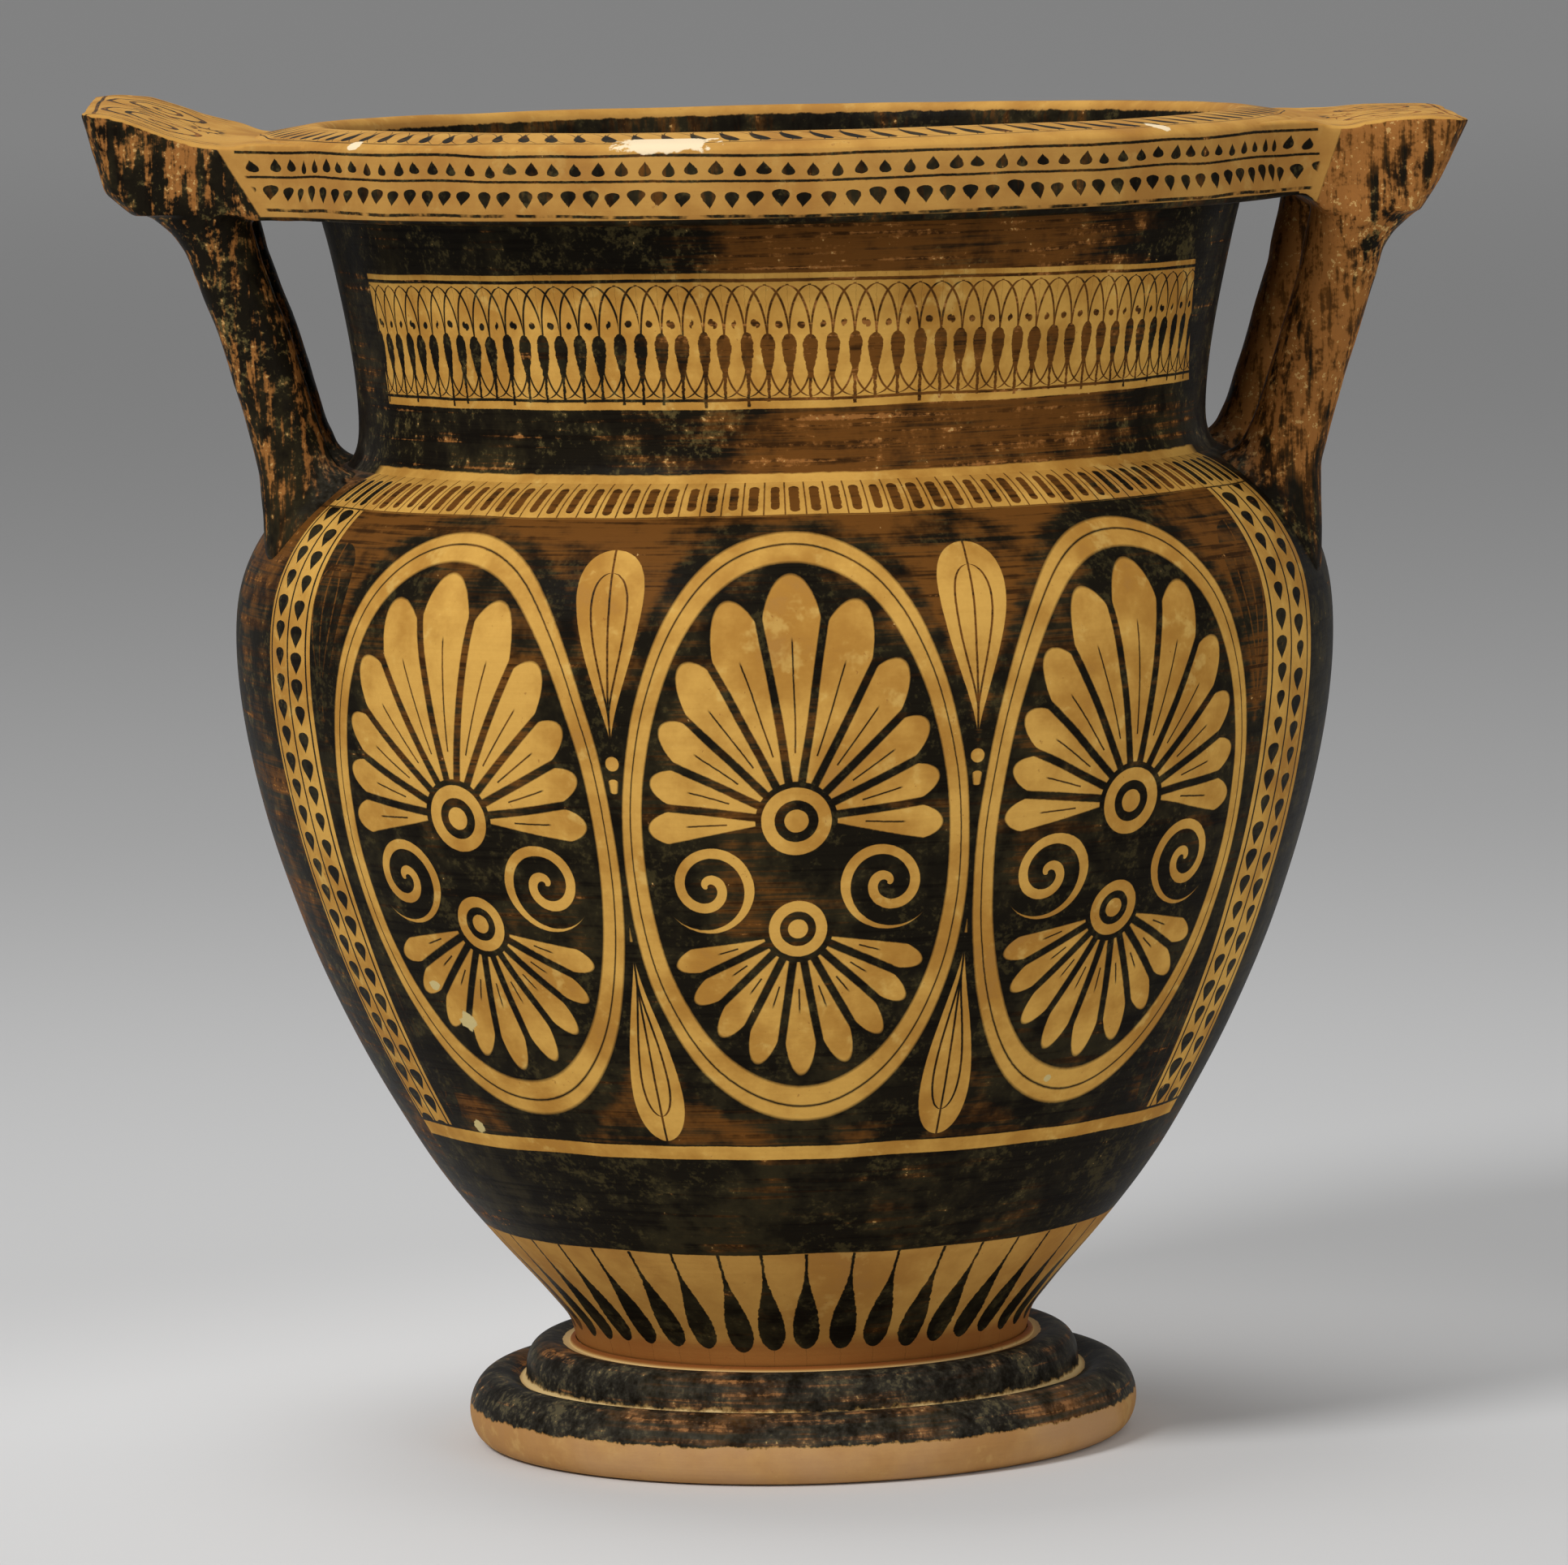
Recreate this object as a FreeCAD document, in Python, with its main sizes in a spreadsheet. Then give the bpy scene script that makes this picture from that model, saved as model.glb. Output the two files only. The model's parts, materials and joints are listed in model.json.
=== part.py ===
import FreeCAD, Part
import math
import os
import Sketcher

# Column krater of fired clay: a stepped foot, a deep bowl with a shoulder, a neck, an
# overhanging lip and two handles, each a flat plate carried by two upright columns.
# +Z is up, the origin is the middle of the resting face and the handles lie along X.

doc = FreeCAD.newDocument("column_krater")

# Driving sizes in millimetres, angles in degrees.
SIZES = {
    # foot: a wide lower disc, a narrow line, an upper disc, hollow underneath
    "foot_height": 28.0,
    "foot_rest_inset": 2.8,
    "foot_rest_width": 9.0,
    "foot_bulge": 8.3,
    "foot_bulge_height": 9.6,
    "foot_bulge_arc": 23.0,
    "foot_crown_width": 6.4,
    "foot_crown_height": 19.3,
    "foot_crown_arc": 9.4,
    "foot_line_height": 16.9,
    "foot_line_width": 1.3,
    "foot_disc_height": 23.0,
    "foot_disc_arc": 16.0,
    "foot_disc_round": 5.3,
    "foot_disc_ledge": 8.7,
    "foot_seat_drop": 1.5,
    "foot_seat_width": 12.8,
    "foot_hollow_height": 16.0,
    "joint_bead": 1.7,
    # bowl, measured up from the foot
    "wall": 6.5,
    "collar_radius": 62.8,
    "collar_rise": 4.1,
    "collar_bend": 6.0,
    "stem_step": 1.4,
    "stem_rise": 3.9,
    "flank_step": 16.8,
    "flank_rise": 19.7,
    "belly_radius": 151.4,
    "belly_rise": 200.5,
    "belly_arc": 134.4,
    "belly_drop": 21.6,
    "shoulder_rise": 46.3,
    "floor_thickness": 8.0,
    "floor_flat_radius": 27.4,
    "floor_bend": 64.0,
    # neck, and the roll of slip that leans on its straight root
    "neck_inset": 35.2,
    "neck_wall": 6.5,
    "neck_height": 64.7,
    "neck_straight": 4.7,
    "neck_flare": 170.0,
    "neck_joint_width": 4.4,
    # lip, measured out from the foot of the neck and up from its top
    "lip_overhang": 28.8,
    "lip_under_rise": 2.2,
    "lip_face": 19.8,
    "lip_face_lean": 0.9,
    "lip_edge_round": 2.6,
    "lip_crown_rise": 4.6,
    "mouth_flare": 2.7,
    "mouth_round": 4.2,
    "mouth_bevel": 3.1,
    # handle plates, the same on both sides
    "plate_half_width": 46.5,
    "plate_lap": 27.0,
    "plate_web": 38.0,
    "plate_corner": 7.0,
    "plate_heel_arc": 13.0,
    "plate_edge": 2.5,
    "plate_flat": 13.5,
    "plate_sweep": 26.0,
    # left handle: reaches out from the lip, heights up from the top of the neck
    "left_overhang": 42.7,
    "left_top_rise": 36.0,
    "left_saddle_rise": 27.0,
    "left_under_rise": 5.2,
    "left_nose_rise": 15.5,
    "left_nose_inset": 5.6,
    "left_heel_inset": 19.5,
    # right handle
    "right_overhang": 42.9,
    "right_top_rise": 24.6,
    "right_saddle_rise": 23.4,
    "right_under_rise": -2.4,
    "right_nose_rise": 7.0,
    "right_nose_inset": 8.2,
    "right_heel_inset": 20.0,
    # columns: how far their middle stands out from the neck at four levels
    "left_column_width": 20.6,
    "left_root_gap": 15.3,
    "left_waist_gap": 20.6,
    "left_shaft_gap": 27.2,
    "left_head_gap": 35.4,
    "right_column_width": 22.4,
    "right_root_gap": 16.8,
    "right_waist_gap": 25.2,
    "right_shaft_gap": 31.6,
    "right_head_gap": 38.3,
    "column_inset": 14.0,
    "root_drop": 5.3,
    "root_depth": 16.0,
    "root_flare": 5.0,
    "waist_rise": 16.7,
    "shaft_rise": 38.7,
    "head_drop": 7.0,
    "head_depth": 3.0,
    "head_flare": 2.4,
}

sheet = doc.addObject("Spreadsheet::Sheet", "Sizes")
for row, (alias, value) in enumerate(SIZES.items(), start=1):
    sheet.set("A%d" % row, alias)
    sheet.set("B%d" % row, str(value))
    sheet.setAlias("B%d" % row, alias)
doc.recompute()


def sized(text):
    """Turns names of sizes in braces into references to the sheet."""
    return text.replace("{", "Sizes.").replace("}", "")


def number(text):
    """The present value of an expression on the sheet."""
    value = sheet.evalExpression(sized(text))
    return float(getattr(value, "Value", value))


def bind(thing, prop, text):
    """Binds a property to an expression on the sheet."""
    thing.setExpression(prop, sized(text))


def arc_between(start, end, radius, turns_left):
    """A circle arc between two points; turns_left says which way the path bends."""
    chord = end - start
    half = chord.Length / 2
    rise = math.sqrt(max(radius * radius - half * half, 0.0))
    side = FreeCAD.Vector(-chord.y, chord.x, 0).normalize() * (1 if turns_left else -1)
    centre = start + chord * 0.5 + side * rise
    first, last = (start, end) if turns_left else (end, start)
    angles = [math.atan2(p.y - centre.y, p.x - centre.x) for p in (first, last)]
    circle = Part.Circle(centre, FreeCAD.Vector(0, 0, 1), radius)
    return Part.ArcOfCircle(circle, angles[0], angles[1])


def outline(sketch, path):
    """Draws a closed outline in a sketch.

    Each step of the path is (x, y) or (x, y, bend, radius): a corner, and how the path
    arrives there, by a line or by an arc that bends left or right. Every corner and
    radius is bound to the sheet.
    """
    corners = [FreeCAD.Vector(number(step[0]), number(step[1]), 0) for step in path]
    ends = []
    for index, step in enumerate(path):
        start, end = corners[index - 1], corners[index]
        if len(step) == 2:
            ends.append((sketch.addGeometry(Part.LineSegment(start, end), False), 1, 2))
        else:
            left = step[2] == "left"
            arc = arc_between(start, end, number(step[3]), left)
            ends.append((sketch.addGeometry(arc, False), 1 if left else 2, 2 if left else 1))
    for index, (edge, first, last) in enumerate(ends):
        before, _, before_last = ends[index - 1]
        sketch.addConstraint(Sketcher.Constraint("Coincident", before, before_last, edge, first))
    for index, step in enumerate(path):
        edge, first, last = ends[index]
        for kind, axis, text in (("DistanceX", -2, step[0]), ("DistanceY", -1, step[1])):
            if text == "0":
                sketch.addConstraint(Sketcher.Constraint("PointOnObject", edge, last, axis))
                continue
            value = number(text)
            rule = sketch.addConstraint(
                Sketcher.Constraint(kind, -1, 1, edge, last, value))
            bind(sketch, "Constraints[%d]" % rule, text)
        if len(step) > 2:
            rule = sketch.addConstraint(Sketcher.Constraint("Radius", edge, number(step[3])))
            bind(sketch, "Constraints[%d]" % rule, step[3])


def plane_of(body, role):
    """One of the body's own origin planes, such as XZ_Plane."""
    return next(f for f in body.Origin.OriginFeatures if f.Role == role)


def new_body(name):
    body = doc.addObject("PartDesign::Body", name)
    body.Label = name
    return body


def profile_sketch(body, name, path):
    """A half section of a thrown piece, drawn in the upright XZ plane."""
    sketch = body.newObject("Sketcher::SketchObject", name)
    sketch.AttachmentSupport = [(plane_of(body, "XZ_Plane"), "")]
    sketch.MapMode = "FlatFace"
    outline(sketch, path)
    return sketch


def thrown(name, path):
    """A piece turned on the wheel: its half section revolved about the upright axis."""
    body = new_body(name)
    sketch = profile_sketch(body, name + "_section", path)
    turn = body.newObject("PartDesign::Revolution", name + "_turn")
    turn.Profile = sketch
    turn.ReferenceAxis = (sketch, ["V_Axis"])
    turn.Angle = 360
    doc.recompute()
    return body


def hollowed(body, path):
    """Cuts the inside of a thrown piece away, and checks that clay was removed."""
    before = body.Shape.Volume
    sketch = profile_sketch(body, body.Name + "_inside", path)
    cut = body.newObject("PartDesign::Groove", body.Name + "_hollow")
    cut.Profile = sketch
    cut.ReferenceAxis = (sketch, ["V_Axis"])
    cut.Angle = 360
    doc.recompute()
    if not body.Shape.Volume < before - 1.0:
        raise RuntimeError("the inside of %s wasn't cut" % body.Name)
    return body


# Levels of the vessel, from the resting face up.
seat_level = "({foot_height} - {foot_seat_drop})"
collar_level = "(%s + {collar_rise})" % seat_level
stem_level = "(%s + {stem_rise})" % collar_level
flank_level = "(%s + {flank_rise})" % stem_level
belly_level = "(%s + {belly_rise})" % seat_level
join_level = "(%s - {belly_drop})" % belly_level
shoulder_level = "(%s + {shoulder_rise})" % belly_level
neck_top = "(%s + {neck_height})" % shoulder_level
lip_edge_level = "(%s + {lip_under_rise} + {lip_face})" % neck_top
lip_crown_level = "(%s + {lip_crown_rise})" % lip_edge_level

# The neck stands in from the belly, and the lip reaches out from the neck.
neck_radius = "({belly_radius} - {neck_inset})"
lip_radius = "(%s + {lip_overhang})" % neck_radius

# Radii of the bowl. The belly turns on an arc whose middle lies level with its widest
# place, and the flank's arc carries on from it without a corner.
belly_sine = "({belly_drop} / {belly_arc})"
belly_cosine = "sqrt(1 - %s ^ 2)" % belly_sine
join_radius = "({belly_radius} - {belly_arc} * (1 - %s))" % belly_cosine
stem_radius = "({collar_radius} + {stem_step})"
flank_radius = "(%s + {flank_step})" % stem_radius
flank_across = "(%s - %s)" % (join_radius, flank_radius)
flank_up = "(%s - %s)" % (join_level, flank_level)
flank_arc = "((%s ^ 2 + %s ^ 2) / 2 / (%s * %s - %s * %s))" % (
    flank_across, flank_up, flank_across, belly_cosine, flank_up, belly_sine)
shoulder_arc = "(({neck_inset} ^ 2 + {shoulder_rise} ^ 2) / 2 / {neck_inset})"

# The outside runs from the collar on the foot up the straight stem, the flank and the
# belly to the widest place, and over the shoulder to the flat seat of the neck.
bowl_outside = [
    ("0", seat_level),
    ("{collar_radius}", seat_level),
    ("{collar_radius}", collar_level),
    (stem_radius, stem_level, "right", "{collar_bend}"),
    (flank_radius, flank_level),
    (join_radius, join_level, "left", flank_arc),
    ("{belly_radius}", belly_level, "left", "{belly_arc}"),
    (neck_radius, shoulder_level, "left", shoulder_arc),
    ("0", shoulder_level),
]

# The inside keeps one wall from the outside: its corners are moved square to the arcs.
stem_slant = "sqrt({flank_step} ^ 2 + {flank_rise} ^ 2)"
floor_level = "(%s + {floor_thickness})" % seat_level
neck_inside = "(%s - {neck_wall})" % neck_radius
bowl_inside = [
    ("0", floor_level),
    ("{floor_flat_radius}", floor_level),
    ("%s - {wall} * {flank_rise} / %s" % (flank_radius, stem_slant),
     "%s + {wall} * {flank_step} / %s" % (flank_level, stem_slant), "left", "{floor_bend}"),
    ("%s - {wall} * %s" % (join_radius, belly_cosine),
     "%s + {wall} * %s" % (join_level, belly_sine), "left", "%s - {wall}" % flank_arc),
    ("{belly_radius} - {wall}", belly_level, "left", "{belly_arc} - {wall}"),
    (neck_inside, shoulder_level, "left", "%s - {wall} / 2" % shoulder_arc),
    ("0", shoulder_level),
]

bowl_blank = thrown("bowl_blank", bowl_outside)
bowl = hollowed(thrown("bowl", bowl_outside), bowl_inside)

# The foot is a ring: it rests on its rim, is hollow below and carries the bowl on top.
disc_crown_radius = "({collar_radius} + {foot_disc_ledge})"
disc_radius = "(%s + {foot_disc_round})" % disc_crown_radius
line_radius = "(%s + {foot_line_width})" % disc_radius
foot_crown_radius = "(%s + {foot_crown_width})" % line_radius
foot_radius = "(%s + {foot_bulge})" % foot_crown_radius
foot_rest_radius = "(%s - {foot_rest_inset})" % foot_radius
hollow_radius = "({collar_radius} - {foot_seat_width})"
foot = thrown("foot", [
    (foot_rest_radius + " - {foot_rest_width}", "0"),
    (foot_rest_radius, "0"),
    (foot_radius, "{foot_bulge_height}", "left", "{foot_bulge_arc}"),
    (foot_crown_radius, "{foot_crown_height}", "left", "{foot_crown_arc}"),
    (line_radius, "{foot_line_height}"),
    (disc_radius, "{foot_disc_height}", "left", "{foot_disc_arc}"),
    (disc_crown_radius, "{foot_height}", "left", "{foot_disc_round}"),
    ("{collar_radius} + {joint_bead}", seat_level),
    (hollow_radius, seat_level),
    (hollow_radius, "{foot_hollow_height}"),
])

# A bead of slip closes the joint between the bowl's collar and the foot.
foot_joint = thrown("foot_joint", [
    ("{collar_radius}", seat_level),
    ("{collar_radius} + {joint_bead}", seat_level),
    ("{collar_radius}", seat_level + " + {joint_bead}", "left", "{joint_bead}"),
])

# The neck stands on the shoulder, upright at first and then flaring to the lip.
straight_level = "(%s + {neck_straight})" % shoulder_level
flare_rise = "({neck_height} - {neck_straight})"
inner_flare = "({neck_flare} + {neck_wall})"
neck_mouth = "(%s + {neck_flare} - sqrt({neck_flare} ^ 2 - %s ^ 2))" % (
    neck_radius, flare_rise)
neck_bore = "(%s + {neck_flare} - sqrt(%s ^ 2 - %s ^ 2))" % (
    neck_radius, inner_flare, flare_rise)
neck = thrown("neck", [
    (neck_inside, shoulder_level),
    (neck_radius, shoulder_level),
    (neck_radius, straight_level),
    (neck_mouth, neck_top, "right", "{neck_flare}"),
    (neck_bore, neck_top),
    (neck_inside, straight_level, "left", inner_flare),
])

# The lip overhangs the neck: an upright face and a top that rises to the mouth.
mouth_radius = "(%s + {mouth_flare})" % neck_bore
lip_crown = ("(%s + {mouth_round})" % mouth_radius, lip_crown_level)
lip_face = [
    (lip_radius + " - {lip_face_lean}", neck_top + " + {lip_under_rise}"),
    (lip_radius, lip_edge_level + " - {lip_edge_round}"),
    (lip_radius + " - {lip_edge_round}", lip_edge_level, "left", "{lip_edge_round}"),
]
lip = thrown("lip", [(neck_bore, neck_top), (neck_mouth, neck_top)] + lip_face + [
    lip_crown,
    (mouth_radius, lip_crown_level + " - {mouth_bevel}", "left", "{mouth_round}"),
])
lip_blank = thrown("lip_blank", [("0", neck_top), (neck_mouth, neck_top)] + lip_face + [
    lip_crown,
    ("0", lip_crown_level),
])

# A small roll of slip lies on the shoulder and slopes up to the top of the neck's straight root.
roll_radius = "(%s + {neck_joint_width})" % neck_radius
roll_level = "(%s + sqrt(%s ^ 2 - (%s - {belly_radius} + %s) ^ 2))" % (
    belly_level, shoulder_arc, roll_radius, shoulder_arc)
neck_joint = thrown("neck_joint", [
    (roll_radius, roll_level),
    (neck_radius, shoulder_level, "left", shoulder_arc),
    (neck_radius, straight_level),
])


def cut(name, base, tool):
    """A boolean cut of two objects."""
    result = doc.addObject("Part::Cut", name)
    result.Label = name
    result.Base = base
    result.Tool = tool
    doc.recompute()
    return result


def free_sketch(name, rotation, path):
    """A sketch outside any body, turned onto its plane."""
    sketch = doc.addObject("Sketcher::SketchObject", name)
    sketch.Placement = FreeCAD.Placement(FreeCAD.Vector(), rotation)
    outline(sketch, path)
    return sketch


def prism(name, sketch, direction, length, symmetric):
    """A sketch drawn out into a solid, one way or half of it each way."""
    solid = doc.addObject("Part::Extrusion", name)
    solid.Base = sketch
    solid.DirMode = "Custom"
    solid.Dir = direction
    solid.Symmetric = symmetric
    solid.Solid = True
    bind(solid, "LengthFwd", length)
    doc.recompute()
    return solid


FLAT = FreeCAD.Rotation()
UPRIGHT = FreeCAD.Rotation(FreeCAD.Vector(1, 0, 0), 90)
HALF_TURN = FreeCAD.Rotation(FreeCAD.Vector(0, 0, 1), 180)


def plate_slab(side):
    """The handle plate before it is fitted to the lip, built towards +X.

    Its side view has a level underside, an outer face that leans out to the top edge
    and a top that sweeps down to the lip; two hollow webs widen it to the lip's circle.
    """
    reach = "(%s + {%s_overhang})" % (lip_radius, side)
    inner = "(%s - {plate_lap})" % lip_radius
    plan = free_sketch(side + "_plan_outline", FLAT, [
        (inner, "-{plate_half_width}"),
        (reach + " - {plate_corner}", "-{plate_half_width}"),
        (reach, "-({plate_half_width} - {plate_corner})", "left", "{plate_corner}"),
        (reach, "{plate_half_width} - {plate_corner}"),
        (reach + " - {plate_corner}", "{plate_half_width}", "left", "{plate_corner}"),
        (inner, "{plate_half_width}"),
    ])
    under = "(%s + {%s_under_rise})" % (neck_top, side)
    top = "(%s + {%s_top_rise})" % (neck_top, side)
    saddle = "(%s + {%s_saddle_rise})" % (neck_top, side)
    drop = "({%s_top_rise} - {%s_saddle_rise})" % (side, side)
    sweep_arc = "(({plate_sweep} ^ 2 + %s ^ 2) / 4 / %s)" % (drop, drop)
    sweep_end = "(%s - {plate_flat})" % reach
    heel_reach = "(%s - {%s_heel_inset})" % (reach, side)
    view = free_sketch(side + "_view_outline", UPRIGHT, [
        (inner, neck_top + " + {lip_under_rise}"),
        (heel_reach + " - {plate_corner}", under),
        (heel_reach, under),
        ("%s - {%s_nose_inset}" % (reach, side), "%s + {%s_nose_rise}" % (neck_top, side),
         "left", "{plate_heel_arc}"),
        (reach, top + " - {plate_edge}"),
        (reach + " - {plate_edge}", top, "left", "{plate_edge}"),
        (sweep_end, top),
        (sweep_end + " - {plate_sweep} / 2", saddle + " + %s / 2" % drop, "left", sweep_arc),
        (sweep_end + " - {plate_sweep}", saddle, "right", sweep_arc),
        (inner, saddle),
    ])
    web_ring = "(%s + {plate_web})" % lip_radius
    web_x = "sqrt(%s ^ 2 - ({plate_half_width} + {plate_web}) ^ 2)" % web_ring
    touch_x = "(%s * %s / %s)" % (web_x, lip_radius, web_ring)
    touch_y = "(({plate_half_width} + {plate_web}) * %s / %s)" % (lip_radius, web_ring)
    web_plan = free_sketch(side + "_web_outline", FLAT, [
        (inner, "-" + touch_y),
        (touch_x, "-" + touch_y),
        (web_x, "-{plate_half_width}", "right", "{plate_web}"),
        (web_x, "{plate_half_width}"),
        (touch_x, touch_y, "right", "{plate_web}"),
        (inner, touch_y),
    ])
    bind(web_plan, "Placement.Base.z", neck_top + " + {lip_under_rise}")
    tall = prism(side + "_plan", plan, FreeCAD.Vector(0, 0, 1), top + " + {plate_edge}", False)
    wide = prism(side + "_view", view, FreeCAD.Vector(0, 1, 0), "2 * " + lip_radius, True)
    web = prism(side + "_web", web_plan, FreeCAD.Vector(0, 0, 1), "{lip_face}", False)
    plate = doc.addObject("Part::MultiCommon", side + "_plate_body")
    plate.Shapes = [tall, wide]
    slab = doc.addObject("Part::MultiFuse", side + "_slab")
    slab.Shapes = [plate, web]
    doc.recompute()
    return slab


def column_roll(side, name, sign):
    """One hand-rolled column: circles lofted from inside the shoulder to the plate."""
    radius = "{%s_column_width} / 2" % side
    root_reach = "(%s + {%s_root_gap})" % (neck_radius, side)
    waist_reach = "(%s + {%s_waist_gap})" % (neck_radius, side)
    shaft_reach = "(%s + {%s_shaft_gap})" % (neck_radius, side)
    head_reach = "(%s + {%s_head_gap})" % (neck_radius, side)
    under = "(%s + {%s_under_rise})" % (neck_top, side)
    root_level = "(%s - {root_drop})" % shoulder_level
    # each level: height, reach, radius
    levels = [
        (root_level + " - {root_depth}", root_reach + " - 0.8 * {root_flare}",
         radius + " + {root_flare}"),
        (root_level, root_reach, radius + " + {root_flare} / 4"),
        (shoulder_level + " + {waist_rise}", waist_reach, radius),
        (shoulder_level + " + {shaft_rise}", shaft_reach, radius),
        (neck_top + " - {head_drop}", head_reach, radius + " + {head_flare} / 5"),
        (under + " + {head_depth}", head_reach + " + {head_flare}", radius + " + {head_flare}"),
    ]
    rings = []
    for index, (height, reach, girth) in enumerate(levels):
        ring = doc.addObject("Part::Circle", "%s_ring_%d" % (name, index))
        bind(ring, "Radius", girth)
        bind(ring, "Placement.Base.x", reach)
        bind(ring, "Placement.Base.y", "%d * ({plate_half_width} - {column_inset})" % sign)
        bind(ring, "Placement.Base.z", height)
        rings.append(ring)
    roll = doc.addObject("Part::Loft", name + "_roll")
    roll.Sections = rings
    roll.Solid = True
    roll.Ruled = False
    doc.recompute()
    return roll


def handle(side, rotation):
    """A plate and its two columns, built towards +X and turned to their side."""
    slab = plate_slab(side)
    plate = cut("plate_" + side, slab, lip_blank)
    plate.Placement = FreeCAD.Placement(FreeCAD.Vector(), rotation)
    pieces = [plate]
    for place, front in (("front", -1), ("back", 1)):
        # the half turn swaps front and back, so the left columns start the other way
        sign = -front if side == "left" else front
        name = "column_%s_%s" % (side, place)
        column = column_roll(side, name, sign)
        column = cut(name + "_under_plate", column, slab)
        column = cut(name + "_under_lip", column, lip_blank)
        column = cut(name, column, bowl_blank)
        column.Placement = FreeCAD.Placement(FreeCAD.Vector(), rotation)
        pieces.append(column)
    return pieces


nodes = [foot, foot_joint, bowl, neck_joint, neck, lip]
nodes += handle("left", HALF_TURN)
nodes += handle("right", FLAT)
doc.recompute()

for thing in doc.Objects:
    if "Invalid" in thing.State or "Error" in thing.State:
        raise RuntimeError("%s failed: %s" % (thing.Name, thing.State))
for node in nodes:
    shape = node.Shape
    if shape.isNull() or not shape.isValid():
        raise RuntimeError("%s has no valid shape" % node.Label)
    if len(shape.Solids) != 1:
        raise RuntimeError("%s has %d solids" % (node.Label, len(shape.Solids)))

os.makedirs("parts", exist_ok=True)
for node in nodes:
    node.Shape.exportStep(os.path.join("parts", node.Label + ".step"))
    print("%-22s %9.1f cm3" % (node.Label, node.Shape.Volume / 1000))
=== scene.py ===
import json
import math

import bmesh
import bpy
from mathutils import Matrix, Vector, noise

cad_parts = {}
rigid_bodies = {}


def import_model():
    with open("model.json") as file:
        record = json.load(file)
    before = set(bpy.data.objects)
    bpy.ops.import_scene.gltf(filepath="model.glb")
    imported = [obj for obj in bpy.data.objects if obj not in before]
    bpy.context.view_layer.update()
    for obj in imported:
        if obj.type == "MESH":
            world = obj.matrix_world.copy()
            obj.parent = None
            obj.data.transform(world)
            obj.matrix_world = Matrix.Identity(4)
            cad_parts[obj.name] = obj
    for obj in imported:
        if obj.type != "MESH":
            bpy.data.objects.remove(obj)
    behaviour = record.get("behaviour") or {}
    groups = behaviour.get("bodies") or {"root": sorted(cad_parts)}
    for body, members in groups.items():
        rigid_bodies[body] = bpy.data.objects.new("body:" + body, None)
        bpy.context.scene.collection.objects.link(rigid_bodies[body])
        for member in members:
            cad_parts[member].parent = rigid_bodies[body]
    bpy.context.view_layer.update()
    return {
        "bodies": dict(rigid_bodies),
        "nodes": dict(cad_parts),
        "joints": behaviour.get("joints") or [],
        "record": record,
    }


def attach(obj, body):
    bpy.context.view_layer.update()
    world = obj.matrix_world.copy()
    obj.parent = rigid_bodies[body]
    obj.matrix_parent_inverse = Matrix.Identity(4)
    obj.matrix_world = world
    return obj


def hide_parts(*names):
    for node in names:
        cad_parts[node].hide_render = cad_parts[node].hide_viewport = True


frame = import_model()
mm = 0.001


def smooth(low, high, value):
    share = min(max((value - low) / (high - low), 0), 1)
    return share * share * (3 - 2 * share)


# Numbers that run through the surface

class Field:
    # a value that changes over a surface, so that patterns read as plain sums
    def __init__(self, tree, socket):
        self.tree, self.socket = tree, socket

    def calc(self, operation, *others, clamp=False):
        step = self.tree.nodes.new("ShaderNodeMath")
        step.operation, step.use_clamp = operation, clamp
        for slot, value in zip(step.inputs, (self,) + others):
            feed(self.tree, slot, value)
        return Field(self.tree, step.outputs[0])

    def __add__(self, other):
        return self.calc("ADD", other)

    def __radd__(self, other):
        return self.calc("ADD", other)

    def __sub__(self, other):
        return self.calc("SUBTRACT", other)

    def __rsub__(self, other):
        return self.calc("MULTIPLY_ADD", -1, other)

    def __mul__(self, other):
        return self.calc("MULTIPLY", other)

    def __rmul__(self, other):
        return self.calc("MULTIPLY", other)

    def __truediv__(self, other):
        return self.calc("DIVIDE", other)

    def __neg__(self):
        return self.calc("MULTIPLY", -1)

    def __abs__(self):
        return self.calc("ABSOLUTE")


def feed(tree, slot, value):
    if isinstance(value, Field):
        tree.links.new(value.socket, slot)
    elif isinstance(value, bpy.types.NodeSocket):
        tree.links.new(value, slot)
    else:
        slot.default_value = value


def place(tree, kind, inputs, output=0, **settings):
    node = tree.nodes.new("ShaderNode" + kind)
    for name, value in settings.items():
        setattr(node, name, value)
    for name, value in inputs.items():
        feed(tree, node.inputs[name], value)
    return Field(tree, node.outputs[output])


def paintColour(red, green, blue):
    # screen numbers from 0 to 255 as a linear colour
    linear = [((v / 255 + 0.055) / 1.055) ** 2.4 if v > 10 else v / 3295 for v in (red, green, blue)]
    return (*linear, 1)


def inside(distance, soft=0.2):  # 1 where the distance is below zero
    return distance.calc("MULTIPLY_ADD", -1 / soft, 0.5, clamp=True)


def stroke(distance, half, soft=0.2):  # a line along distance zero
    return inside(abs(distance) - half, soft)


def span(value, low, high, soft=0.2):  # 1 between two values
    return inside((low - value).calc("MAXIMUM", value - high), soft)


def either(*masks):
    result = masks[0]
    for mask in masks[1:]:
        result = result.calc("MAXIMUM", mask)
    return result


def ramp(value, low, high):  # a soft step from 0 to 1
    return place(value.tree, "MapRange", {"Value": value, "From Min": low, "From Max": high},
                 interpolation_type="SMOOTHSTEP")


def blend(tree, share, first, second):
    node = tree.nodes.new("ShaderNodeMix")
    node.data_type = "RGBA"
    for slot, value in ((node.inputs[0], share), (node.inputs[6], first), (node.inputs[7], second)):
        feed(tree, slot, value)
    return Field(tree, node.outputs[2])


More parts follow.
